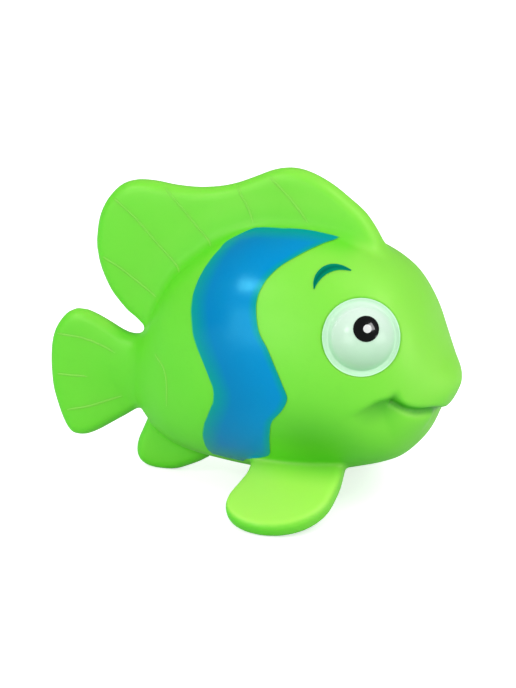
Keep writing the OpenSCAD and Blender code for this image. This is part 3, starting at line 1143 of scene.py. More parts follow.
@dataclass(frozen=True)
class Crease:
    """Profile of a crease: a groove, with a swelling or a hollow above and below it.

    Attributes:
        width: Half width of the groove above its line.
        under_width: Half width of the groove below its line.
        groove: Depth of the groove.
        reach: How far from its line the crease changes the surface.
        above: Height of the swelling above the groove.
        below: Height of the swelling below it, negative for a hollow.
        spread: How far from the line the swellings lie, and their half width.
        fade: Share of the line over which the crease dies out at its end.
        set_back: How far the surface under the line's end lies back.
        start: Share of the line where the swellings begin.
        tone: How strongly the groove is shaded.
        rise: Share of the line over which the groove grows deep.
        swell_run: Share of the line over which the swellings grow.
        step_start: Share of the line where the step back begins.
        step_run: Share of the line over which the step back grows.
        step_top: Height over the line where the step begins.
        step_height: Height over which the step goes back.
        step_lip: How far under the line the step keeps its depth.
        step_fall: How far under that the step dies out.
        points: Number of points that the line is followed at.
    """

    width: float
    under_width: float
    groove: float
    reach: float
    above: float
    below: float
    spread: float
    fade: float = 0.0
    set_back: float = 0.0
    start: float = 0.0
    tone: float = 1.0
    rise: float = 0.08
    swell_run: float = 0.3
    step_start: float = 0.45
    step_run: float = 0.4
    step_top: float = 0.2
    step_height: float = 1.3
    step_lip: float = 1.0
    step_fall: float = 4.0
    points: int = 70

    def depth(
        self, lateral: np.ndarray, past: np.ndarray, share: np.ndarray
    ) -> tuple[np.ndarray, np.ndarray]:
        """Works out how deep the surface is pressed in.

        Args:
            lateral: Distance above the line.
            past: Distance beyond its ends.
            share: Place along it, from 0 to 1.

        Returns:
            The groove's depth, and the depth of what lies beside it, which is negative where it
            swells.
        """
        fading = 1 - ease((share - 1 + self.fade) / self.fade) if self.fade else 1.0
        width = np.where(lateral > 0, self.width, self.under_width)
        groove = self.groove * bell(lateral, width) * bell(past, self.width) * ease(share / self.rise)
        swell = self.above * bell(lateral - self.spread, self.spread)
        swell = swell + self.below * bell(lateral + self.spread, self.spread)
        ending = passing(share, self.step_start, self.step_run) * (self.set_back > 0)
        swell = swell * passing(share, self.start, self.swell_run) * (1 - ending)
        swell = swell * bell(past, self.spread)
        back = passing(lateral, self.step_top, -self.step_height)
        back = back * bell(np.minimum(lateral + self.step_lip, 0), self.step_fall)
        return fading * groove, self.set_back * ending * back - fading * swell


class Run(Enum):
    """The way that the first column of a fin's table runs."""

    AHEAD = 0
    UP = 2


@dataclass(frozen=True)
class UprightFin:
    """A fin in the midplane.

    Attributes:
        table: Its outline, as shares of the toy's length and height.
        run: The way that the table's first column runs.
        thickness: Its thickness.
        flare: How much thicker each face is at its foot.
        fillet: Size of the fillet between it and the body.
        flare_reach: How far from the body its foot is thicker.
        rim: Radius of its rim.
        points: Number of points along each side of its outline.
    """

    table: tuple
    run: Run
    thickness: float
    flare: float
    fillet: float
    flare_reach: float = 5.0
    rim: float = 2.3
    points: int = 90

    def outline(self, length: float, height: float) -> np.ndarray:
        """Follows the fin's edge.

        Args:
            length: The toy's length.
            height: The toy's height.

        Returns:
            Points of the outline, along X and Z.
        """
        share = (1 - np.cos(np.linspace(0, math.pi, self.points))) / 2
        first = self.table[0][0] + (self.table[-1][0] - self.table[0][0]) * share
        sides = [smooth(self.table, first, column) for column in (1, 2)]
        if self.run is Run.AHEAD:
            sides = [np.column_stack([first, side]) for side in sides]
        else:
            sides = [np.column_stack([side, first]) for side in sides]
        return np.vstack([sides[0], sides[1][::-1]]) * np.array([length, height])


@dataclass(frozen=True)
class Tones:
    """Where painted light makes the vinyl paler and painted shade makes it darker. A pair is a start and
    the run to full strength.

    Attributes:
        thin_out: Distance from the midplane from which painted light pales the pectoral fins.
        thin_top: Height under which they get it.
        thin_facing: How far a face has to look up for it.
        fair_way: Direction of the painted light, in which the vinyl looks palest.
        fair_ahead: How much more painted light it gets from the toy's middle to one length ahead.
        fair_range: Where the painted light begins, and the way to its strongest.
        valley_height: Height over the body under which the dorsal fin's foot lies in its valley.
        valley_out: Distance from the midplane within which the valley lies.
        valley_ahead: Place ahead where the valley ends.
        valley_shade: Share of the painted light that painted shade takes away in the valley.
        hollow: Middle of the shade behind the cheek, along X and Z.
        hollow_spread: Its half widths.
        hollow_out: Distance from the midplane from which it lies on the flank.
        hollow_shade: Its strength.
    """

    thin_out: tuple[float, float] = (13.0, 5.0)
    thin_top: tuple[float, float] = (14.0, -4.0)
    thin_facing: tuple[float, float] = (0.2, 0.5)
    fair_way: tuple[float, float, float] = (0.5, 0.0, 0.7)
    fair_ahead: float = 1 / 3
    fair_range: tuple[float, float] = (-0.25, 1.1)
    valley_height: tuple[float, float] = (7.2, -6.0)
    valley_out: tuple[float, float] = (13.0, -8.0)
    valley_ahead: tuple[float, float] = (32.0, -6.0)
    valley_shade: float = 0.85
    hollow: tuple[float, float] = (23.0, 21.0)
    hollow_spread: tuple[float, float] = (12.0, 9.0)
    hollow_out: tuple[float, float] = (8.0, 6.0)
    hollow_shade: float = 0.7

    def values(
        self,
        points: np.ndarray,
        normals: np.ndarray,
        height: np.ndarray,
        share: np.ndarray,
        creased: np.ndarray,
    ) -> dict[str, np.ndarray]:
        """Works out the painted light and shade at points of the moulding.

        Args:
            points: The points.
            normals: Directions outwards there.
            height: Their height over the plain body.
            share: Their place ahead of the middle, as a share of the toy's length.
            creased: Strength of the painted shade from the creases there, from 0 to 1.

        Returns:
            Values from 0 to 1 by the names that the vinyl's finish reads.
        """
        out = np.abs(points[:, 1])
        # Painted light on the upper faces of the pectoral fins
        thin = passing(out, *self.thin_out) * passing(points[:, 2], *self.thin_top)
        thin = thin * passing(normals[:, 2], *self.thin_facing)
        # Painted light on faces turned towards the light, growing towards the nose
        facing = normals @ np.array(self.fair_way) + share * self.fair_ahead
        # Painted shade in the valley at the dorsal fin's foot
        valley = passing(height, *self.valley_height) * passing(out, *self.valley_out)
        valley = valley * passing(points[:, 0], *self.valley_ahead)
        fair = np.clip((facing - self.fair_range[0]) / self.fair_range[1], 0, 1)
        # Painted shade on the flank under the cheek
        away = (points[:, [0, 2]] - self.hollow) / self.hollow_spread
        shade = self.hollow_shade * np.exp(-(away**2).sum(1))
        shade = shade * passing(out, *self.hollow_out) * (1 - thin)
        fair = fair * (1 - self.valley_shade * valley)
        return {"fair": fair, "thin": thin, "creased": np.maximum(creased, shade)}


@dataclass
class Moulding:
    """The hollow vinyl moulding: body, fins, eye domes, mouth and the squeaker's pocket.

    Attributes:
        sizes: The toy's sizes.
        pitch: Distance between the grid's points.
        pectoral_fillet: Size of the fillet at the pectoral fins' feet.
        pectoral_rim: Radius of the pectoral fins' rims.
        under: How far the vinyl lies under the white of the eye.
        under_edge: How far inside the white's rim that begins, and its run.
        pocket_rounding: Rounding of the squeaker's pocket.
        sole_rounding: Rounding of the flat soles.
        reach: How far from the body its distances are known.
        cheek: The crease under the cheek.
        mouth: The mouth line.
        tones: Where painted light makes the vinyl paler and painted shade makes it darker.
        skin: The plain body.
        creased: How strongly painted shade darkens each point of the grid, by how deep in a crease it lies.
        eye_point: The place of the eye on the body.
        eye_facing: The direction that the eye faces.
        body: The plain body's shape.
        lattice: The grid.
    """

    sizes: Sizes
    pitch: float
    pectoral_fillet: float = 1.6
    pectoral_rim: float = 1.5
    under: float = 0.45
    under_edge: tuple[float, float] = (0.3, 1.2)
    pocket_rounding: float = 0.3
    sole_rounding: float = 0.4
    reach: float = 8.0
    cheek: Crease = Crease(
        width=1.0,
        under_width=4.2,
        groove=1.2,
        reach=14.0,
        above=0.3,
        below=-1.2,
        spread=5.5,
        fade=0.6,
        start=0.25,
        tone=0.9,
        rise=0.32,
    )
    mouth: Crease = Crease(
        width=0.85,
        under_width=1.0,
        groove=1.25,
        reach=8.0,
        above=0.1,
        below=0.2,
        spread=3.4,
        set_back=1.6,
        tone=1.5,
        rise=0.03,
    )
    tones: Tones = Tones()
    skin: Form = field(init=False)
    creased: np.ndarray = field(init=False)
    eye_point: np.ndarray = field(init=False)
    eye_facing: np.ndarray = field(init=False)
    body: BodyForm = field(init=False)
    lattice: Lattice = field(init=False)

    def __post_init__(self) -> None:
        """Places the eye and lays out the grid."""
        self.body = BodyForm(self.sizes)
        self.lattice = Lattice.over(self.sizes, self.pitch)
        self.eye_point = self.body.point(*map(np.array, EYE_SHARES))
        turn, tilt = math.radians(self.sizes.eye_turn), math.radians(self.sizes.eye_tilt)
        self.eye_facing = np.array(
            [math.sin(turn) * math.cos(tilt), math.cos(turn) * math.cos(tilt), math.sin(tilt)]
        )

    def upright_fins(self) -> tuple[UprightFin, ...]:
        """Lists the fins in the midplane.

        Returns:
            The fins, in the order in which they are joined to the body.
        """
        s = self.sizes
        return (
            UprightFin(DORSAL_SHARES, Run.AHEAD, s.dorsal_thickness, flare=0.9, fillet=2.4),
            UprightFin(ANAL_SHARES, Run.AHEAD, s.anal_thickness, flare=0.0, fillet=1.6),
            UprightFin(TAIL_SHARES, Run.UP, s.tail_thickness, flare=0.8, fillet=2.4),
        )

    def upright(self, fin: UprightFin, skin: np.ndarray) -> np.ndarray:
        """Finds distances to a fin in the midplane, whose foot grows thicker towards the body.

        Args:
            fin: The fin.
            skin: Distances to the body.

        Returns:
            Distances on the grid.
        """
        x, y, z = self.lattice.axes()
        edge = outline_distance(fin.outline(self.sizes.length, self.sizes.height), x, z)
        foot = fin.flare * np.exp(-np.maximum(skin, 0) / fin.flare_reach)
        across = np.maximum(np.abs(y) - foot, 0)
        return slab(edge, across, fin.thickness / 2, min(fin.rim, fin.thickness / 2))

    def pectoral(self, points: int = 60, beside: float = 0.7, ends: tuple = (-0.6, 1.4)) -> np.ndarray:
        """Finds distances to the left pectoral fin.

        Args:
            points: Number of points along each side of its outline.
            beside: Room beside its middle line, as a share of its chord.
            ends: Where that room begins and ends along its span, as shares of it.

        Returns:
            Distances on the grid.
        """
        s = self.sizes
        x, y, z = self.lattice.axes()
        rise = s.pectoral_tip_height - s.pectoral_foot_height
        run = np.array([0, s.pectoral_reach - s.pectoral_foot, rise])
        span = np.linalg.norm(run)
        out, up = run / span, np.array([0, -run[2], run[1]]) / span
        shares = np.sin(np.linspace(0, 1, points) * math.pi / 2)
        shares = PECTORAL_SHARES[0][0] + (1 - PECTORAL_SHARES[0][0]) * shares
        front, rear = (s.pectoral_chord * smooth(PECTORAL_SHARES, shares, n) for n in (1, 2))
        sides = [np.column_stack([side, shares * span]) for side in (front, rear)]
        outline = np.vstack([sides[0], sides[1][::-1]])
        step = self.pitch / 2
        across = np.arange(-beside * s.pectoral_chord, beside * s.pectoral_chord, step)
        along = np.arange(ends[0] * span, ends[1] * span, step)
        flat = outline_distance(outline, across[:, None], along[None, :])
        y, z = y - s.pectoral_foot, z - s.pectoral_foot_height
        u = (x - s.pectoral_place - across[0]) / step
        v = (y * out[1] + z * out[2] - along[0]) / step
        u, v, w = np.broadcast_arrays(u, v, y * up[1] + z * up[2])
        return slab(between(flat, u, v), w, s.pectoral_thickness / 2, self.pectoral_rim)

    def near(self, line: np.ndarray, reach: float) -> tuple[slice, ...]:
        """Finds the part of the grid that lies near a line.

        Args:
            line: Points of the line.
            reach: How far from it the part reaches.

        Returns:
            The part, as one slice for each axis.
        """
        low = np.floor((line.min(0) - reach) / self.pitch).astype(int) - self.lattice.first
        high = np.ceil((line.max(0) + reach) / self.pitch).astype(int) - self.lattice.first
        low, high = np.clip(low, 0, None), np.minimum(high, self.lattice.shape)
        return tuple(slice(a, b) for a, b in zip(low, high, strict=True))

    def press(self, form: np.ndarray, table: tuple, shape: Crease) -> np.ndarray:
        """Presses a crease into the form along a line on the skin.

        Args:
            form: Distances to the form.
            table: The line: place and angle at each point.
            shape: The crease's profile.

        Returns:
            The changed distances.
        """
        rows = numbered(table)
        share = np.linspace(0, len(rows) - 1, shape.points)
        place, angle = smooth(rows, share, 1), smooth(rows, share, 2)
        line, out = self.body.point(place, angle), self.body.normal(place, angle)
        ahead = unit(np.gradient(line, axis=0))
        up = unit(np.cross(ahead, out))
        up *= np.where(up[:, 2:] < 0, -1, 1)
        part = self.near(line, shape.reach)
        x, y, z = self.lattice.axes()
        grid = np.broadcast_arrays(x[part[0]], y[:, part[1]], z[:, :, part[2]])
        points = np.stack(grid, -1).reshape(-1, 3)
        best = np.full(len(points), FAR)
        nearest = np.zeros(len(points), int)
        for n, spot in enumerate(line):
            distance = ((points - spot) ** 2).sum(-1)
            closer = distance < best
            best[closer] = distance[closer]
            nearest[closer] = n
        offset = points - line[nearest]
        lateral = (offset * up[nearest]).sum(-1)
        past = (offset * ahead[nearest]).sum(-1)
        ends = (nearest == 0) | (nearest == len(line) - 1)
        from_midplane = line[nearest][:, 1]
        past = np.where(ends & (from_midplane > 1), past, 0)
        groove, swell = shape.depth(lateral, past, nearest / (len(line) - 1))
        form = form.copy()
        groove = groove.reshape(grid[0].shape)
        form[part] += groove + soften(swell.reshape(grid[0].shape), 2)
        # Painted shade: the deeper the groove, the darker the vinyl is painted there
        self.creased[part] = np.maximum(self.creased[part], shape.tone * groove / shape.groove)
        return form

    def form(self) -> Form:
        """Builds the outer form: joined, creased and cut.

        Returns:
            The form.
        """
        s = self.sizes
        x, y, z = self.lattice.axes()
        skin = self.lattice.distance(*self.body.mesh(), self.reach)
        self.skin = Form(self.lattice, skin)
        self.creased = np.zeros_like(skin)
        body = self.press(skin, CHEEK_SHARES, self.cheek)
        body = self.press(body, MOUTH_SHARES, self.mouth)
        body = self.eye(body, skin)
        for fin in self.upright_fins():
            body = join(body, self.upright(fin, skin), fin.fillet)
        body = join(body, self.pectoral(), self.pectoral_fillet)
        from_axis = np.hypot(x - s.squeaker_place, y)
        for radius, low, high in (
            (s.recess_radius, -s.recess_top, s.recess_top),
            (s.bore_radius, 0.0, s.chamber_top),
            (s.chamber_radius, s.bore_top, s.chamber_top),
        ):
            hole = np.maximum(from_axis - radius, np.abs(z - (high + low) / 2) - (high - low) / 2)
            body = cut(body, np.broadcast_to(hole, body.shape), self.pocket_rounding)
        body = cut(body, np.broadcast_to(z, body.shape), self.sole_rounding)
        return Form(self.lattice, body)

    def eye(self, body: np.ndarray, skin: np.ndarray) -> np.ndarray:
        """Sinks a ring round the eye and raises its dome.

        Args:
            body: Distances to the body with its creases.
            skin: Distances to the plain body.

        Returns:
            Distances to the body with its eye.
        """
        s = self.sizes
        x, y, z = self.lattice.axes()
        offset = [x - self.eye_point[0], y - self.eye_point[1], z - self.eye_point[2]]
        along = sum(o * f for o, f in zip(offset, self.eye_facing, strict=True))
        away = np.sqrt(np.maximum(sum(o * o for o in offset) - along**2, 0))
        share = 1 - ((away - s.moat_radius) / s.moat_width) ** 2
        margin, run = self.under_edge
        under = self.under * passing(away, s.white_radius - margin, -run)
        dip = s.moat_depth * np.maximum(share, 0) + under
        near = (away < 2 * s.white_radius) & (along > -s.white_radius)
        body = np.where(near, np.maximum(body, skin + dip), body)
        across, up = plane_axes(self.eye_facing)
        centre = self.eye_point + s.dome_ahead * across + s.dome_up * up
        centre = centre - (s.eye_ball - s.eye_rise) * self.eye_facing
        ball = np.sqrt((x - centre[0]) ** 2 + (y - centre[1]) ** 2 + (z - centre[2]) ** 2)
        return np.minimum(body, ball - s.eye_ball + self.under)

    def build(self, form: Form, squeeze: Squeeze, material: bpy.types.Material) -> bpy.types.Object:
        """Meshes the form and dresses it.

        Args:
            form: The outer form.
            squeeze: What puts the pieces under their bodies.
            material: The vinyl.

        Returns:
            The moulding's skin.
        """
        grid = openvdb.FloatGrid(self.reach)
        grid.copyFromArray(form.whole.astype(np.float32), ijk=tuple(int(v) for v in form.first))
        grid.transform = openvdb.createLinearTransform(voxelSize=self.pitch)
        points, quads = grid.convertToQuads(0.0)
        points = form.settle(points.astype(float), 2)
        points[:, 2] = np.maximum(points[:, 2], 0)
        normals = form.normal(points)
        a, b, c, d = (points[quads[:, n]] for n in range(4))
        if (np.cross(c - a, d - b) * normals[quads[:, 0]]).sum() < 0:
            quads = quads[:, ::-1]
        # Painted shade from the creases, read at the skin's points
        creased = np.clip(Form(self.lattice, self.creased).height(points), 0, 1)
        share = points[:, 0] / self.sizes.length
        values = self.tones.values(points, normals, self.skin.height(points), share, creased)
        piece = make_piece("moulding_skin", points, quads, material, normals, values)
        squeeze.dress(piece, Slot.VINYL, "body_shell")
        return piece


@dataclass
class Eye:
    """The eye's dome and the ring sunk round it, on the left side.

    Attributes:
        sizes: The toy's sizes.
        skin: The plain body.
        middle: The eye's place on the body.
        facing: The direction that it faces.
        blend: Size of the fillet between the dome and its ring.
        above: How far over the eye's plane the body is looked for.
        below: How far under it.
        across: The direction ahead in the eye's plane.
        up: The direction up in it.
    """

    sizes: Sizes
    skin: Form
    middle: np.ndarray
    facing: np.ndarray
    blend: float = 0.25
    above: float = 4.0
    below: float = 9.0
    across: np.ndarray = field(init=False)
    up: np.ndarray = field(init=False)

    def __post_init__(self) -> None:
        """Sets the two directions of the eye's plane."""
        self.across, self.up = plane_axes(self.facing)

    def flat(self, u: np.ndarray, v: np.ndarray) -> np.ndarray:
        """Points of the eye's plane at offsets ahead and up."""
        return self.middle + u[..., None] * self.across + v[..., None] * self.up

    def height(self, u: np.ndarray, v: np.ndarray) -> np.ndarray:
        """Finds how high the eye stands over its plane.

        Args:
            u: Offsets ahead in the plane.
            v: Offsets up in it.

        Returns:
            The heights.
        """
        s = self.sizes
        found = self.skin.cast(self.flat(u, v), -self.facing, self.above, self.below)
        base = (found - self.middle) @ self.facing
        away = np.hypot(u, v)
        dip = np.maximum(1 - ((away - s.moat_radius) / s.moat_width) ** 2, 0)
        over = (u - s.dome_ahead) ** 2 + (v - s.dome_up) ** 2
        dome = s.eye_rise - s.eye_ball + np.sqrt(np.maximum(s.eye_ball**2 - over, 0))
        return -join(-dome, s.moat_depth * dip - base, self.blend)

    def lay(self, u: np.ndarray, v: np.ndarray, step: float = 0.08) -> tuple[np.ndarray, np.ndarray]:
        """Finds points of the eye.

        Args:
            u: Offsets ahead in its plane.
            v: Offsets up in it.
            step: How far beside each point its slope is looked at.

        Returns:
            The points, and the directions square to the eye there.
        """
        height = self.height(u, v)
        slope_u = (self.height(u + step, v) - self.height(u - step, v)) / (2 * step)
        slope_v = (self.height(u, v + step) - self.height(u, v - step)) / (2 * step)
        out = unit(self.facing - slope_u[..., None] * self.across - slope_v[..., None] * self.up)
        return self.flat(u, v) + height[..., None] * self.facing, out


@dataclass(frozen=True)
class DiscTone:
    """How a round film's tone changes from its middle to its rim, with painted light towards its top and
    painted shade round the ring at the dome's foot.

    Attributes:
        rim: Share of the radius at the rim where the film is mist.
        ring: Share of the radius that the ring inside the rim takes.
        ring_run: Share of the radius over which the ring ends.
        ring_edge: The edge value in the ring.
        shade: How much painted shade can darken the ring.
        shade_run: Share of the radius over which that shade dies out inwards.
        shade_mean: Share of the shade on the average round the ring.
        shade_swing: How far the shade goes from its average.
        shade_turn: Direction in which the ring has the least painted shade, in radians from ahead to up.
    """

    rim: float = 0.01
    ring: float = 0.13
    ring_run: float = 0.04
    ring_edge: float = 0.15
    shade: float = 0.75
    shade_run: float = 0.2
    shade_mean: float = 0.65
    shade_swing: float = 0.35
    shade_turn: float = 0.8

    def values(self, share: np.ndarray, angle: np.ndarray) -> dict[str, np.ndarray]:
        """Works out the painted light and shade at the middle and then ring by ring.

        Args:
            share: The rings' places, as shares of the radius.
            angle: The angles of the points in each ring.

        Returns:
            Values by the names that the paint's finish reads.
        """
        rings, sectors = len(share), len(angle)
        inward = np.concatenate([[1.0], np.repeat(1 - share, sectors)])
        full = np.clip((inward - self.ring) / self.ring_run, 0, 1)
        edge = np.where(inward > self.rim, self.ring_edge + (1 - self.ring_edge) * full, 0)
        # Painted light: paler towards the film's top, darker towards its foot
        upwards = np.concatenate([[0.0], np.tile(np.sin(angle), rings) * np.repeat(share, sectors)])
        # Painted shade round the ring at the dome's foot, least towards shade_turn
        way = self.shade_mean - self.shade_swing * np.cos(angle - self.shade_turn)
        way = np.concatenate([[0.0], np.tile(way, rings)])
        shade = self.shade * way * (1 - passing(inward, self.ring, self.shade_run))
        return {"edge": edge, "lift": (upwards / 2 + 0.5) * (1 - shade)}


@dataclass(frozen=True)
class Film:
    """A film of paint that is to be laid on one side.

    Attributes:
        name: The node that it stands for, without its side.
        slot: Its material slot.
        material: Its finish.
        level: Number of films under it.
    """

    name: str
    slot: Slot
    material: bpy.types.Material
    level: int = 0


@dataclass
class PaintedSide:
    """The films of paint on one side: band, brow, eye white, pupil and light spot.

    Attributes:
        moulding: The moulding under them.
        form: Its outer form.
        side: The side that they are on.
        squeeze: What puts the pieces under their bodies.
        lift: Gap between the vinyl and a film, and between films.
        film: Thickness of a film.
        settling: How often points are brought nearer to the surface.
        band_start: How far the band starts below the top of its table, in degrees.
        band_way: Length of the band from its upper end to its lower end.
        band_soft: Widths of its soft edges: behind, ahead, above and below.
        glint_ahead: How far the light spot lies ahead of the pupil's middle.
        disc_tone: How the tone of the round films changes.
    """

    moulding: Moulding
    form: Form
    side: Side
    squeeze: Squeeze
    lift: float = 0.07
    film: float = 0.07
    settling: int = 6
    band_start: float = 2.2
    band_way: float = 62.0
    band_soft: tuple[float, float, float, float] = (5.5, 2.2, 5.0, 8.0)
    glint_ahead: float = 0.25
    disc_tone: DiscTone = DiscTone()

    def sheet(self, film: Film, grid: np.ndarray, values: dict[str, np.ndarray]) -> None:
        """Lays a closed film over a grid of points on the surface of the left side.

        Args:
            film: The film.
            grid: Rows and columns of points.
            values: Numbers for its points, in the grid's shape.
        """
        rows, columns = grid.shape[:2]
        spots = grid.reshape(-1, 3)
        i, j = np.meshgrid(np.arange(rows - 1), np.arange(columns - 1), indexing="ij")
        a = (i * columns + j).ravel()
        tops = np.stack([a, a + 1, a + columns + 1, a + columns], -1)
        rim = np.concatenate(
            [
                np.arange(columns),
                np.arange(1, rows) * columns + columns - 1,
                np.arange(columns - 2, -1, -1) + (rows - 1) * columns,
                np.arange(rows - 2, 0, -1) * columns,
            ]
        )
        values = {key: numbers.ravel() for key, numbers in values.items()}
        self.close(film, spots, self.form.normal(spots), tops.tolist(), rim, values)

    def disc(
        self,
        film: Film,
        eye: Eye,
        middle: tuple[float, float],
        radius: float,
        rings: int = 48,
        sectors: int = 112,
    ) -> None:
        """Lays a round film on the eye.

        Args:
            film: The film.
            eye: The eye.
            middle: The disc's middle in the eye's plane, ahead and up.
            radius: Its radius.
            rings: Rings of points round the middle.
            sectors: Points in each ring.
        """
        share = np.arange(1, rings + 1) / rings
        angle = np.arange(sectors) * 2 * math.pi / sectors
        away = radius * share[:, None]
        u = np.concatenate([[0.0], (away * np.cos(angle)).ravel()]) + middle[0]
        v = np.concatenate([[0.0], (away * np.sin(angle)).ravel()]) + middle[1]
        spots, out = eye.lay(u, v)
        i, k = np.meshgrid(np.arange(rings - 1), np.arange(sectors), indexing="ij")
        a, b = 1 + i * sectors + k, 1 + i * sectors + (k + 1) % sectors
        quads = np.stack([a, a + sectors, b + sectors, b], -1).reshape(-1, 4)
        fan = [[0, 1 + n, 1 + (n + 1) % sectors] for n in range(sectors)]
        rim = 1 + (rings - 1) * sectors + np.arange(sectors)
        self.close(film, spots, out, [*quads.tolist(), *fan], rim, self.disc_tone.values(share, angle))

    def close(
        self,
        film: Film,
        spots: np.ndarray,
        out: np.ndarray,
        tops: list,
        rim: np.ndarray,
        values: dict[str, np.ndarray],
    ) -> None:
        """Gives a film its thickness and its rim, and dresses it.

        Args:
            film: The film.
            spots: Points on the surface of the left side.
            out: Directions square to it there.
            tops: Faces of the film's top.
            rim: Points round its rim, in order.
            values: Numbers for its points.
        """
        count = len(spots)
        base = film.level * (self.lift + self.film) + self.lift
        points = np.vstack([spots + out * (base + self.film), spots + out * (base - self.lift / 2)])
        faces = [list(face) for face in tops] + [[v + count for v in reversed(face)] for face in tops]
        ahead = np.roll(rim, -1)
        faces += [[b, a, a + count, b + count] for a, b in zip(rim, ahead, strict=True)]
        first = points[np.array(faces[0][:3])]
        inside_out = np.cross(first[1] - first[0], first[2] - first[0]) @ out[faces[0][0]] < 0
        if inside_out != (self.side is Side.RIGHT):
            faces = [face[::-1] for face in faces]
        piece = make_piece(
            f"{self.side.word}_{film.name}_paint",
            self.side.turn(points),
            faces,
            film.material,
            self.side.turn(np.vstack([out, -out])),
            {key: np.concatenate([numbers, numbers]) for key, numbers in values.items()},
        )
        self.squeeze.dress_side(piece, self.side, film.slot, f"{self.side.word}_{film.name}")

    def band(self, material: bpy.types.Material, rows: int = 150, columns: int = 50) -> None:
        """Lays the broad band from the dorsal fin down to the pectoral fin.

        Args:
            material: Its finish.
            rows: Rows of points from its top to its foot.
            columns: Points in each row.
        """
        angle = np.linspace(BAND_SHARES[0][0] + self.band_start, BAND_SHARES[-1][0], rows)[:, None]
        rear, front = smooth(BAND_SHARES, angle, 1), smooth(BAND_SHARES, angle, 2)
        share = np.linspace(0, 1, columns)[None, :]
        place = rear + (front - rear) * share
        grid = self.form.settle(self.moulding.body.point(place, angle), self.settling)
        length = self.moulding.sizes.length
        soft_behind, soft_ahead, soft_above, soft_below = self.band_soft
        behind = (place - rear) * length / soft_behind
        ahead = (front - place) * length / soft_ahead
        down = np.linspace(0, 1, rows)[:, None] * self.band_way + np.zeros_like(place)
        ends = np.minimum(down / soft_above, (self.band_way - down) / soft_below)
        edge = np.clip(np.minimum(np.minimum(behind, ahead), ends), 0, 1)
        lift = ease(share) * np.ones_like(place)
        self.sheet(Film("band", Slot.BLUE, material), grid, {"edge": edge, "lift": lift})

    def brow(self, material: bpy.types.Material, rows: int = 60, columns: int = 9) -> None:
        """Lays the brow over the eye.

        Args:
            material: Its finish.
            rows: Rows of points from its rear end to its front end.
            columns: Points in each row.
        """
        table = numbered(BROW_SHARES)
        share = np.linspace(0, len(BROW_SHARES) - 1, rows)[:, None]
        across = np.linspace(0, 1, columns)[None, :]
        place = smooth(table, share, 3) * (1 - across) + smooth(table, share, 1) * across
        angle = smooth(table, share, 4) * (1 - across) + smooth(table, share, 2) * across
        grid = self.form.settle(self.moulding.body.point(place, angle), self.settling)
        edge = np.minimum(across, 1 - across) * 2 * np.ones_like(place)
        lift = share / share.max() * np.ones_like(place)
        self.sheet(Film("brow", Slot.BROW, material), grid, {"edge": edge, "lift": lift})

    def eye(self, white: bpy.types.Material, black: bpy.types.Material, glint: bpy.types.Material) -> None:
        """Lays the white, the pupil and the light spot on the dome.

        Args:
            white: The white's finish.
            black: The pupil's finish.
            glint: The light spot's finish.
        """
        s = self.moulding.sizes
        eye = Eye(s, self.moulding.skin, self.moulding.eye_point, self.moulding.eye_facing)
        pupil = (s.pupil_ahead, s.pupil_up)
        spot = (s.pupil_ahead + self.glint_ahead, s.pupil_up)
        self.disc(Film("eye_white", Slot.WHITE, white), eye, (0.0, 0.0), s.white_radius)
        self.disc(Film("pupil", Slot.BLACK, black, 1), eye, pupil, s.pupil_radius, 16, 64)
        self.disc(Film("glint", Slot.WHITE, glint, 2), eye, spot, s.glint_radius, 8, 40)


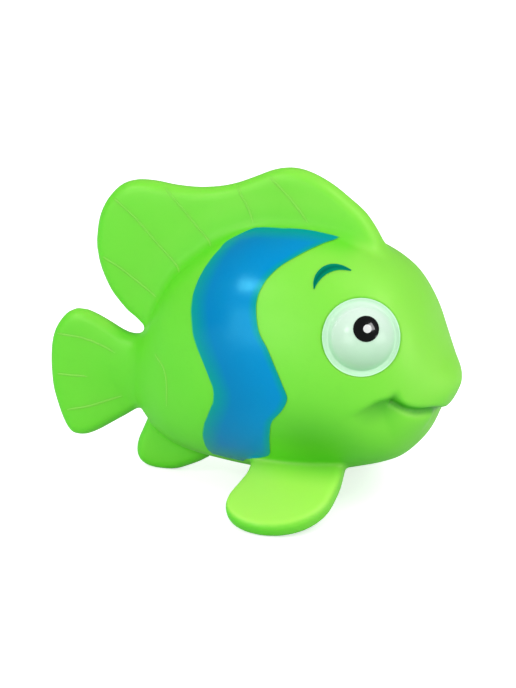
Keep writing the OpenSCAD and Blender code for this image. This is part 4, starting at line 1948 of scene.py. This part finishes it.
@dataclass
class FinRays:
    """The raised rays that are moulded on both faces of the upright fins.

    Attributes:
        moulding: The moulding that they are on.
        form: Its outer form.
        squeeze: What puts the pieces under their bodies.
        width: A ray's width.
        proud: How far it stands out.
        sides: Number of sides of its section.
        stations: Number of sections along it.
        samples: Number of points that its line is laid through.
        outside: Distance from the midplane that lies outside every fin.
        ends: Its size at its two ends, as a share of its width.
        shoulders: Places along it, each with its size there.
    """

    moulding: Moulding
    form: Form
    squeeze: Squeeze
    width: float = 0.8
    proud: float = 0.1
    sides: int = 10
    stations: int = 28
    samples: int = 24
    outside: float = 16.0
    ends: tuple[float, float] = (0.85, 0.8)
    shoulders: tuple[tuple[float, float], ...] = ((0.1, 1.0), (0.8, 0.97))

    def tree(self, material: bpy.types.Material) -> bpy.types.NodeTree:
        """Makes the geometry nodes that sweep a tapering round rib along each curve.

        Args:
            material: The rays' finish.

        Returns:
            The tree, whose inputs are the rib's radius and its number of sides.
        """
        tree = bpy.data.node_groups.new("fin_ray", "GeometryNodeTree")
        face = tree.interface
        face.new_socket("Geometry", in_out="INPUT", socket_type="NodeSocketGeometry")
        face.new_socket("Radius", in_out="INPUT", socket_type="NodeSocketFloat")
        face.new_socket("Sides", in_out="INPUT", socket_type="NodeSocketInt")
        face.new_socket("Geometry", in_out="OUTPUT", socket_type="NodeSocketGeometry")
        nodes, links = tree.nodes, tree.links
        given = nodes.new("NodeGroupInput")
        sampled = nodes.new("GeometryNodeResampleCurve")
        sampled.inputs["Count"].default_value = self.stations
        along = nodes.new("GeometryNodeSplineParameter")
        taper = nodes.new("ShaderNodeFloatCurve")
        curve = taper.mapping.curves[0]
        curve.points[0].location = (0.0, self.ends[0])
        curve.points[1].location = (1.0, self.ends[1])
        for place, size in self.shoulders:
            curve.points.new(place, size)
        taper.mapping.update()
        sized = nodes.new("GeometryNodeSetCurveRadius")
        profile = nodes.new("GeometryNodeCurvePrimitiveCircle")
        swept = nodes.new("GeometryNodeCurveToMesh")
        swept.inputs["Fill Caps"].default_value = True
        real = nodes.new("GeometryNodeRealizeInstances")
        finish = nodes.new("GeometryNodeSetMaterial")
        finish.inputs["Material"].default_value = material
        made = nodes.new("NodeGroupOutput")
        links.new(given.outputs["Geometry"], sampled.inputs["Curve"])
        links.new(sampled.outputs["Curve"], sized.inputs["Curve"])
        links.new(along.outputs["Factor"], taper.inputs["Value"])
        links.new(taper.outputs["Value"], sized.inputs["Radius"])
        links.new(given.outputs["Radius"], profile.inputs["Radius"])
        links.new(given.outputs["Sides"], profile.inputs["Resolution"])
        links.new(sized.outputs["Curve"], swept.inputs["Curve"])
        links.new(profile.outputs["Curve"], swept.inputs["Profile Curve"])
        if "Scale" in swept.inputs:
            links.new(taper.outputs["Value"], swept.inputs["Scale"])
        links.new(swept.outputs["Mesh"], real.inputs["Geometry"])
        links.new(real.outputs["Geometry"], finish.inputs["Geometry"])
        links.new(finish.outputs["Geometry"], made.inputs["Geometry"])
        return tree

    def build(self, fin: str, material: bpy.types.Material, tree: bpy.types.NodeTree) -> bpy.types.Object:
        """Sweeps the rays of one fin.

        Args:
            fin: The fin's name.
            material: The rays' finish.
            tree: The geometry nodes that sweep them.

        Returns:
            The fin's rays, as one piece.
        """
        sizes = self.moulding.sizes
        curve = bpy.data.curves.new(f"{fin}_rays", "CURVE")
        curve.dimensions = "3D"
        for ray in RAY_SHARES[fin]:
            rows = numbered(ray)
            share = np.linspace(0, len(ray) - 1, self.samples)
            x, z = sizes.length * smooth(rows, share, 1), sizes.height * smooth(rows, share, 2)
            start = np.stack([x, np.full_like(x, self.outside), z], -1)
            spots = self.form.cast(start, np.array([0.0, -1.0, 0.0]), 0.0, self.outside)
            spots = spots - self.form.normal(spots) * (self.width / 2 - self.proud)
            for side in Side:
                spline = curve.splines.new("POLY")
                spline.points.add(len(spots) - 1)
                place = side.turn(spots) * MM
                spline.points.foreach_set("co", np.column_stack([place, np.ones(len(place))]).ravel())
        rough = bpy.data.objects.new(f"{fin}_rays_path", curve)
        bpy.context.scene.collection.objects.link(rough)
        modifier = rough.modifiers.new("rays", "NODES")
        modifier.node_group = tree
        given = {item.name: item.identifier for item in tree.interface.items_tree if item.in_out == "INPUT"}
        modifier[given["Radius"]] = self.width / 2 * MM
        modifier[given["Sides"]] = self.sides
        held = bpy.context.evaluated_depsgraph_get()
        mesh = bpy.data.meshes.new_from_object(rough.evaluated_get(held))
        bpy.data.objects.remove(rough)
        mesh.name = f"{fin}_rays"
        mesh.polygons.foreach_set("use_smooth", np.ones(len(mesh.polygons), bool))
        if not mesh.materials:
            mesh.materials.append(material)
        piece = bpy.data.objects.new(f"{fin}_rays", mesh)
        bpy.context.scene.collection.objects.link(piece)
        self.squeeze.dress(piece, Slot.VINYL)
        return piece


@dataclass
class Squeaker:
    """The snap-in squeaker, whose solids are shown as they are, with better finishes."""

    plastic: PlasticFinish = SQUEAKER_PLASTIC
    film: PlasticFinish = REED_FILM

    def dress(self) -> None:
        """Gives the solids their finishes."""
        plastic, film = self.plastic.material(), self.film.material()
        for name in ("squeaker_housing", "squeaker_cap", "reed_seat", "reed_clamp"):
            self.paint(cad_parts[name], plastic, Slot.SQUEAKER)
        self.paint(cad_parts["reed"], film, Slot.REED)

    @staticmethod
    def paint(node: bpy.types.Object, material: bpy.types.Material, slot: Slot) -> None:
        """Puts one finish on a solid.

        Args:
            node: The solid.
            material: Its finish.
            slot: Its material slot. Not used.
        """
        node.data.materials.clear()
        node.data.materials.append(material)
        LOG.info("%s: dressed", node.name)


def bearing(azimuth: float, elevation: float) -> Vector:
    """Finds the direction from the toy to a place round it.

    Args:
        azimuth: Degrees round the toy, from its right side towards its nose.
        elevation: Degrees above the floor.

    Returns:
        The direction.
    """
    turn, lift = math.radians(azimuth), math.radians(elevation)
    return Vector((math.sin(turn) * math.cos(lift), -math.cos(turn) * math.cos(lift), math.sin(lift)))


def hang(name: str, data: bpy.types.ID, place: Vector, back: Vector) -> bpy.types.Object:
    """Puts a camera or a lamp into the scene.

    Args:
        name: Its name.
        data: The camera or the lamp.
        place: Its place.
        back: The direction from what it points at to its place.

    Returns:
        The object.
    """
    thing = bpy.data.objects.new(name, data)
    thing.location = place
    thing.rotation_mode = "QUATERNION"
    thing.rotation_quaternion = (-back).to_track_quat("-Z", "Y")
    bpy.context.scene.collection.objects.link(thing)
    return thing


@dataclass(frozen=True)
class Lamp:
    """A soft lamp that points at the toy's middle.

    Attributes:
        name: Its name.
        azimuth: Its direction round the toy, from the toy's right side towards the nose.
        elevation: Its direction above the floor.
        size: Its width and height, in metres.
        level: How bright a white surface looks that faces it.
        distance: How far it is from the toy's middle, in metres.
        middle: The toy's middle, in metres.
    """

    name: str
    azimuth: float
    elevation: float
    size: tuple[float, float]
    level: float
    distance: float = 0.8
    middle: tuple[float, float, float] = (0.0, 0.0, 0.04)

    def build(self) -> None:
        """Hangs the lamp."""
        back = bearing(self.azimuth, self.elevation)
        data = bpy.data.lights.new(self.name, "AREA")
        data.shape = "RECTANGLE"
        data.size, data.size_y = self.size
        data.energy = self.level * (math.pi * self.distance) ** 2
        hang(self.name, data, Vector(self.middle) + back * self.distance, back)


@dataclass
class Studio:
    """Camera, lamps, floor and surroundings.

    Attributes:
        azimuth: Degrees from the toy's right side towards its nose at which the camera stands.
        elevation: Degrees above the floor at which it stands.
        distance: Its distance from its target.
        lens: Its focal length.
        sensor: Width of its sensor.
        target: The point that it looks at.
        lamps: The lamps.
        daylight: Brightness of the surroundings.
        sky: Their colour.
        mirrored: Share of the daylight that is left in reflections.
        floor_half: Half of the floor's side, in metres.
        floor_tones: The floor's two colours as the camera sees them.
        floor_clouds: How they mix.
        floor_dim: The floor's colour in the light that it throws on the toy.
        floor_glow: How much brighter the camera sees it.
    """

    azimuth: float = 20.0
    elevation: float = 20.0
    distance: float = 620.0
    lens: float = 129.1
    sensor: float = 36.0
    target: tuple[float, float, float] = (2.054, 0.129, 37.1)
    lamps: tuple[Lamp, ...] = (
        Lamp("left_box", -42, 34, (0.14, 0.14), 0.18),
        Lamp("left_low", -25, 4, (0.5, 0.4), 0.32),
        Lamp("right_low", 80, 6, (0.5, 0.4), 0.30),
        Lamp("right_box", 62, 48, (0.2, 0.3), 0.23),
    )
    daylight: float = 0.9
    sky: Colour = (0.96, 0.98, 1.0)
    mirrored: float = 0.2
    floor_half: float = 3.0
    floor_tones: tuple[Colour, Colour] = ((0.80, 0.80, 0.80), (0.83, 0.83, 0.83))
    floor_clouds: Grain = Grain(3.0)
    floor_dim: Colour = (0.60, 0.60, 0.60)
    floor_glow: float = 0.6

    def camera(self) -> None:
        """Sets the camera at the photograph's angle."""
        back = bearing(self.azimuth, self.elevation)
        data = bpy.data.cameras.new("camera")
        data.lens = self.lens
        data.sensor_width = self.sensor
        data.clip_start, data.clip_end = 0.01, 10.0
        place = (Vector(self.target) + back * self.distance) * MM
        bpy.context.scene.camera = hang("camera", data, place, back)

    def surroundings(self) -> None:
        """Makes a pale world that the camera sees as white, dimmed in reflections."""
        world = bpy.data.worlds.new("studio")
        p = Pattern.of(world)
        path = p.add("ShaderNodeLightPath").outputs
        seen = p.feed(
            p.add("ShaderNodeMath", {"operation": "MAXIMUM"}),
            path["Is Camera Ray"],
            path["Is Transmission Ray"],
        )
        dimmed = p.feed(
            p.add("ShaderNodeMath", {"operation": "MULTIPLY_ADD"}),
            path["Is Glossy Ray"],
            (self.mirrored - 1) * self.daylight,
            self.daylight,
        )
        light = p.add("ShaderNodeBackground", Color=self.sky, Strength=dimmed).outputs[0]
        white = p.add("ShaderNodeBackground", Color=(1.0, 1.0, 1.0), Strength=1.0).outputs[0]
        mixed = p.feed(p.add("ShaderNodeMixShader"), seen, light, white)
        p.add("ShaderNodeOutputWorld", Surface=mixed)
        bpy.context.scene.world = world

    def floor(self) -> None:
        """Lays a broad pale floor under the fins."""
        half = self.floor_half
        points = np.array([[-half, -half, 0], [half, -half, 0], [half, half, 0], [-half, half, 0]]) / MM
        p = Pattern.named("studio_floor")
        tone = p.mix(self.floor_clouds.on(p), *self.floor_tones)
        seen = p.add("ShaderNodeLightPath").outputs["Is Camera Ray"]
        matt = p.add("ShaderNodeBsdfDiffuse", Color=tone).outputs[0]
        dim = p.add("ShaderNodeBsdfDiffuse", Color=self.floor_dim).outputs[0]
        glow = p.add("ShaderNodeEmission", Color=(1.0, 1.0, 1.0), Strength=self.floor_glow).outputs[0]
        both = p.feed(p.add("ShaderNodeAddShader"), matt, glow)
        mixed = p.feed(p.add("ShaderNodeMixShader"), seen, dim, both)
        p.add("ShaderNodeOutputMaterial", Surface=mixed)
        make_piece("floor", points, [[0, 1, 2, 3]], p.owner)

    def build(self) -> None:
        """Sets up the whole studio."""
        self.camera()
        self.surroundings()
        self.floor()
        for lamp in self.lamps:
            lamp.build()
        bpy.context.scene.view_settings.view_transform = "Standard"


def main() -> None:
    """Builds the toy's pieces in order and dresses them."""
    logging.basicConfig(level=logging.INFO, format="%(name)s: %(message)s")
    sizes = Sizes.from_frame()
    squeeze = Squeeze(sizes)
    moulding = Moulding(sizes, FULL_PITCH)
    form = moulding.form()
    LOG.info("form: %s points", form.whole.shape)
    moulding.build(form, squeeze, BODY_VINYL.material())
    rays = FinRays(moulding, form, squeeze)
    # The rays' paler green is a painted highlight
    vinyl = RAY_VINYL_PAINTED_HIGHLIGHT.material()
    tree = rays.tree(vinyl)
    for fin in RAY_SHARES:
        rays.build(fin, vinyl, tree)
    blue, brow, white = BAND_PAINT.material(), BROW_PAINT.material(), WHITE_PAINT.material()
    black, glint = PUPIL_PAINT.material(), GLINT_PAINT.material()
    for side in Side:
        paint = PaintedSide(moulding, form, side, squeeze)
        paint.band(blue)
        paint.brow(brow)
        paint.eye(white, black, glint)
        LOG.info("%s side: painted", side.word)
    Squeaker().dress()
    Studio().build()
    LOG.info("studio: set up")


if __name__ == "__main__":
    main()
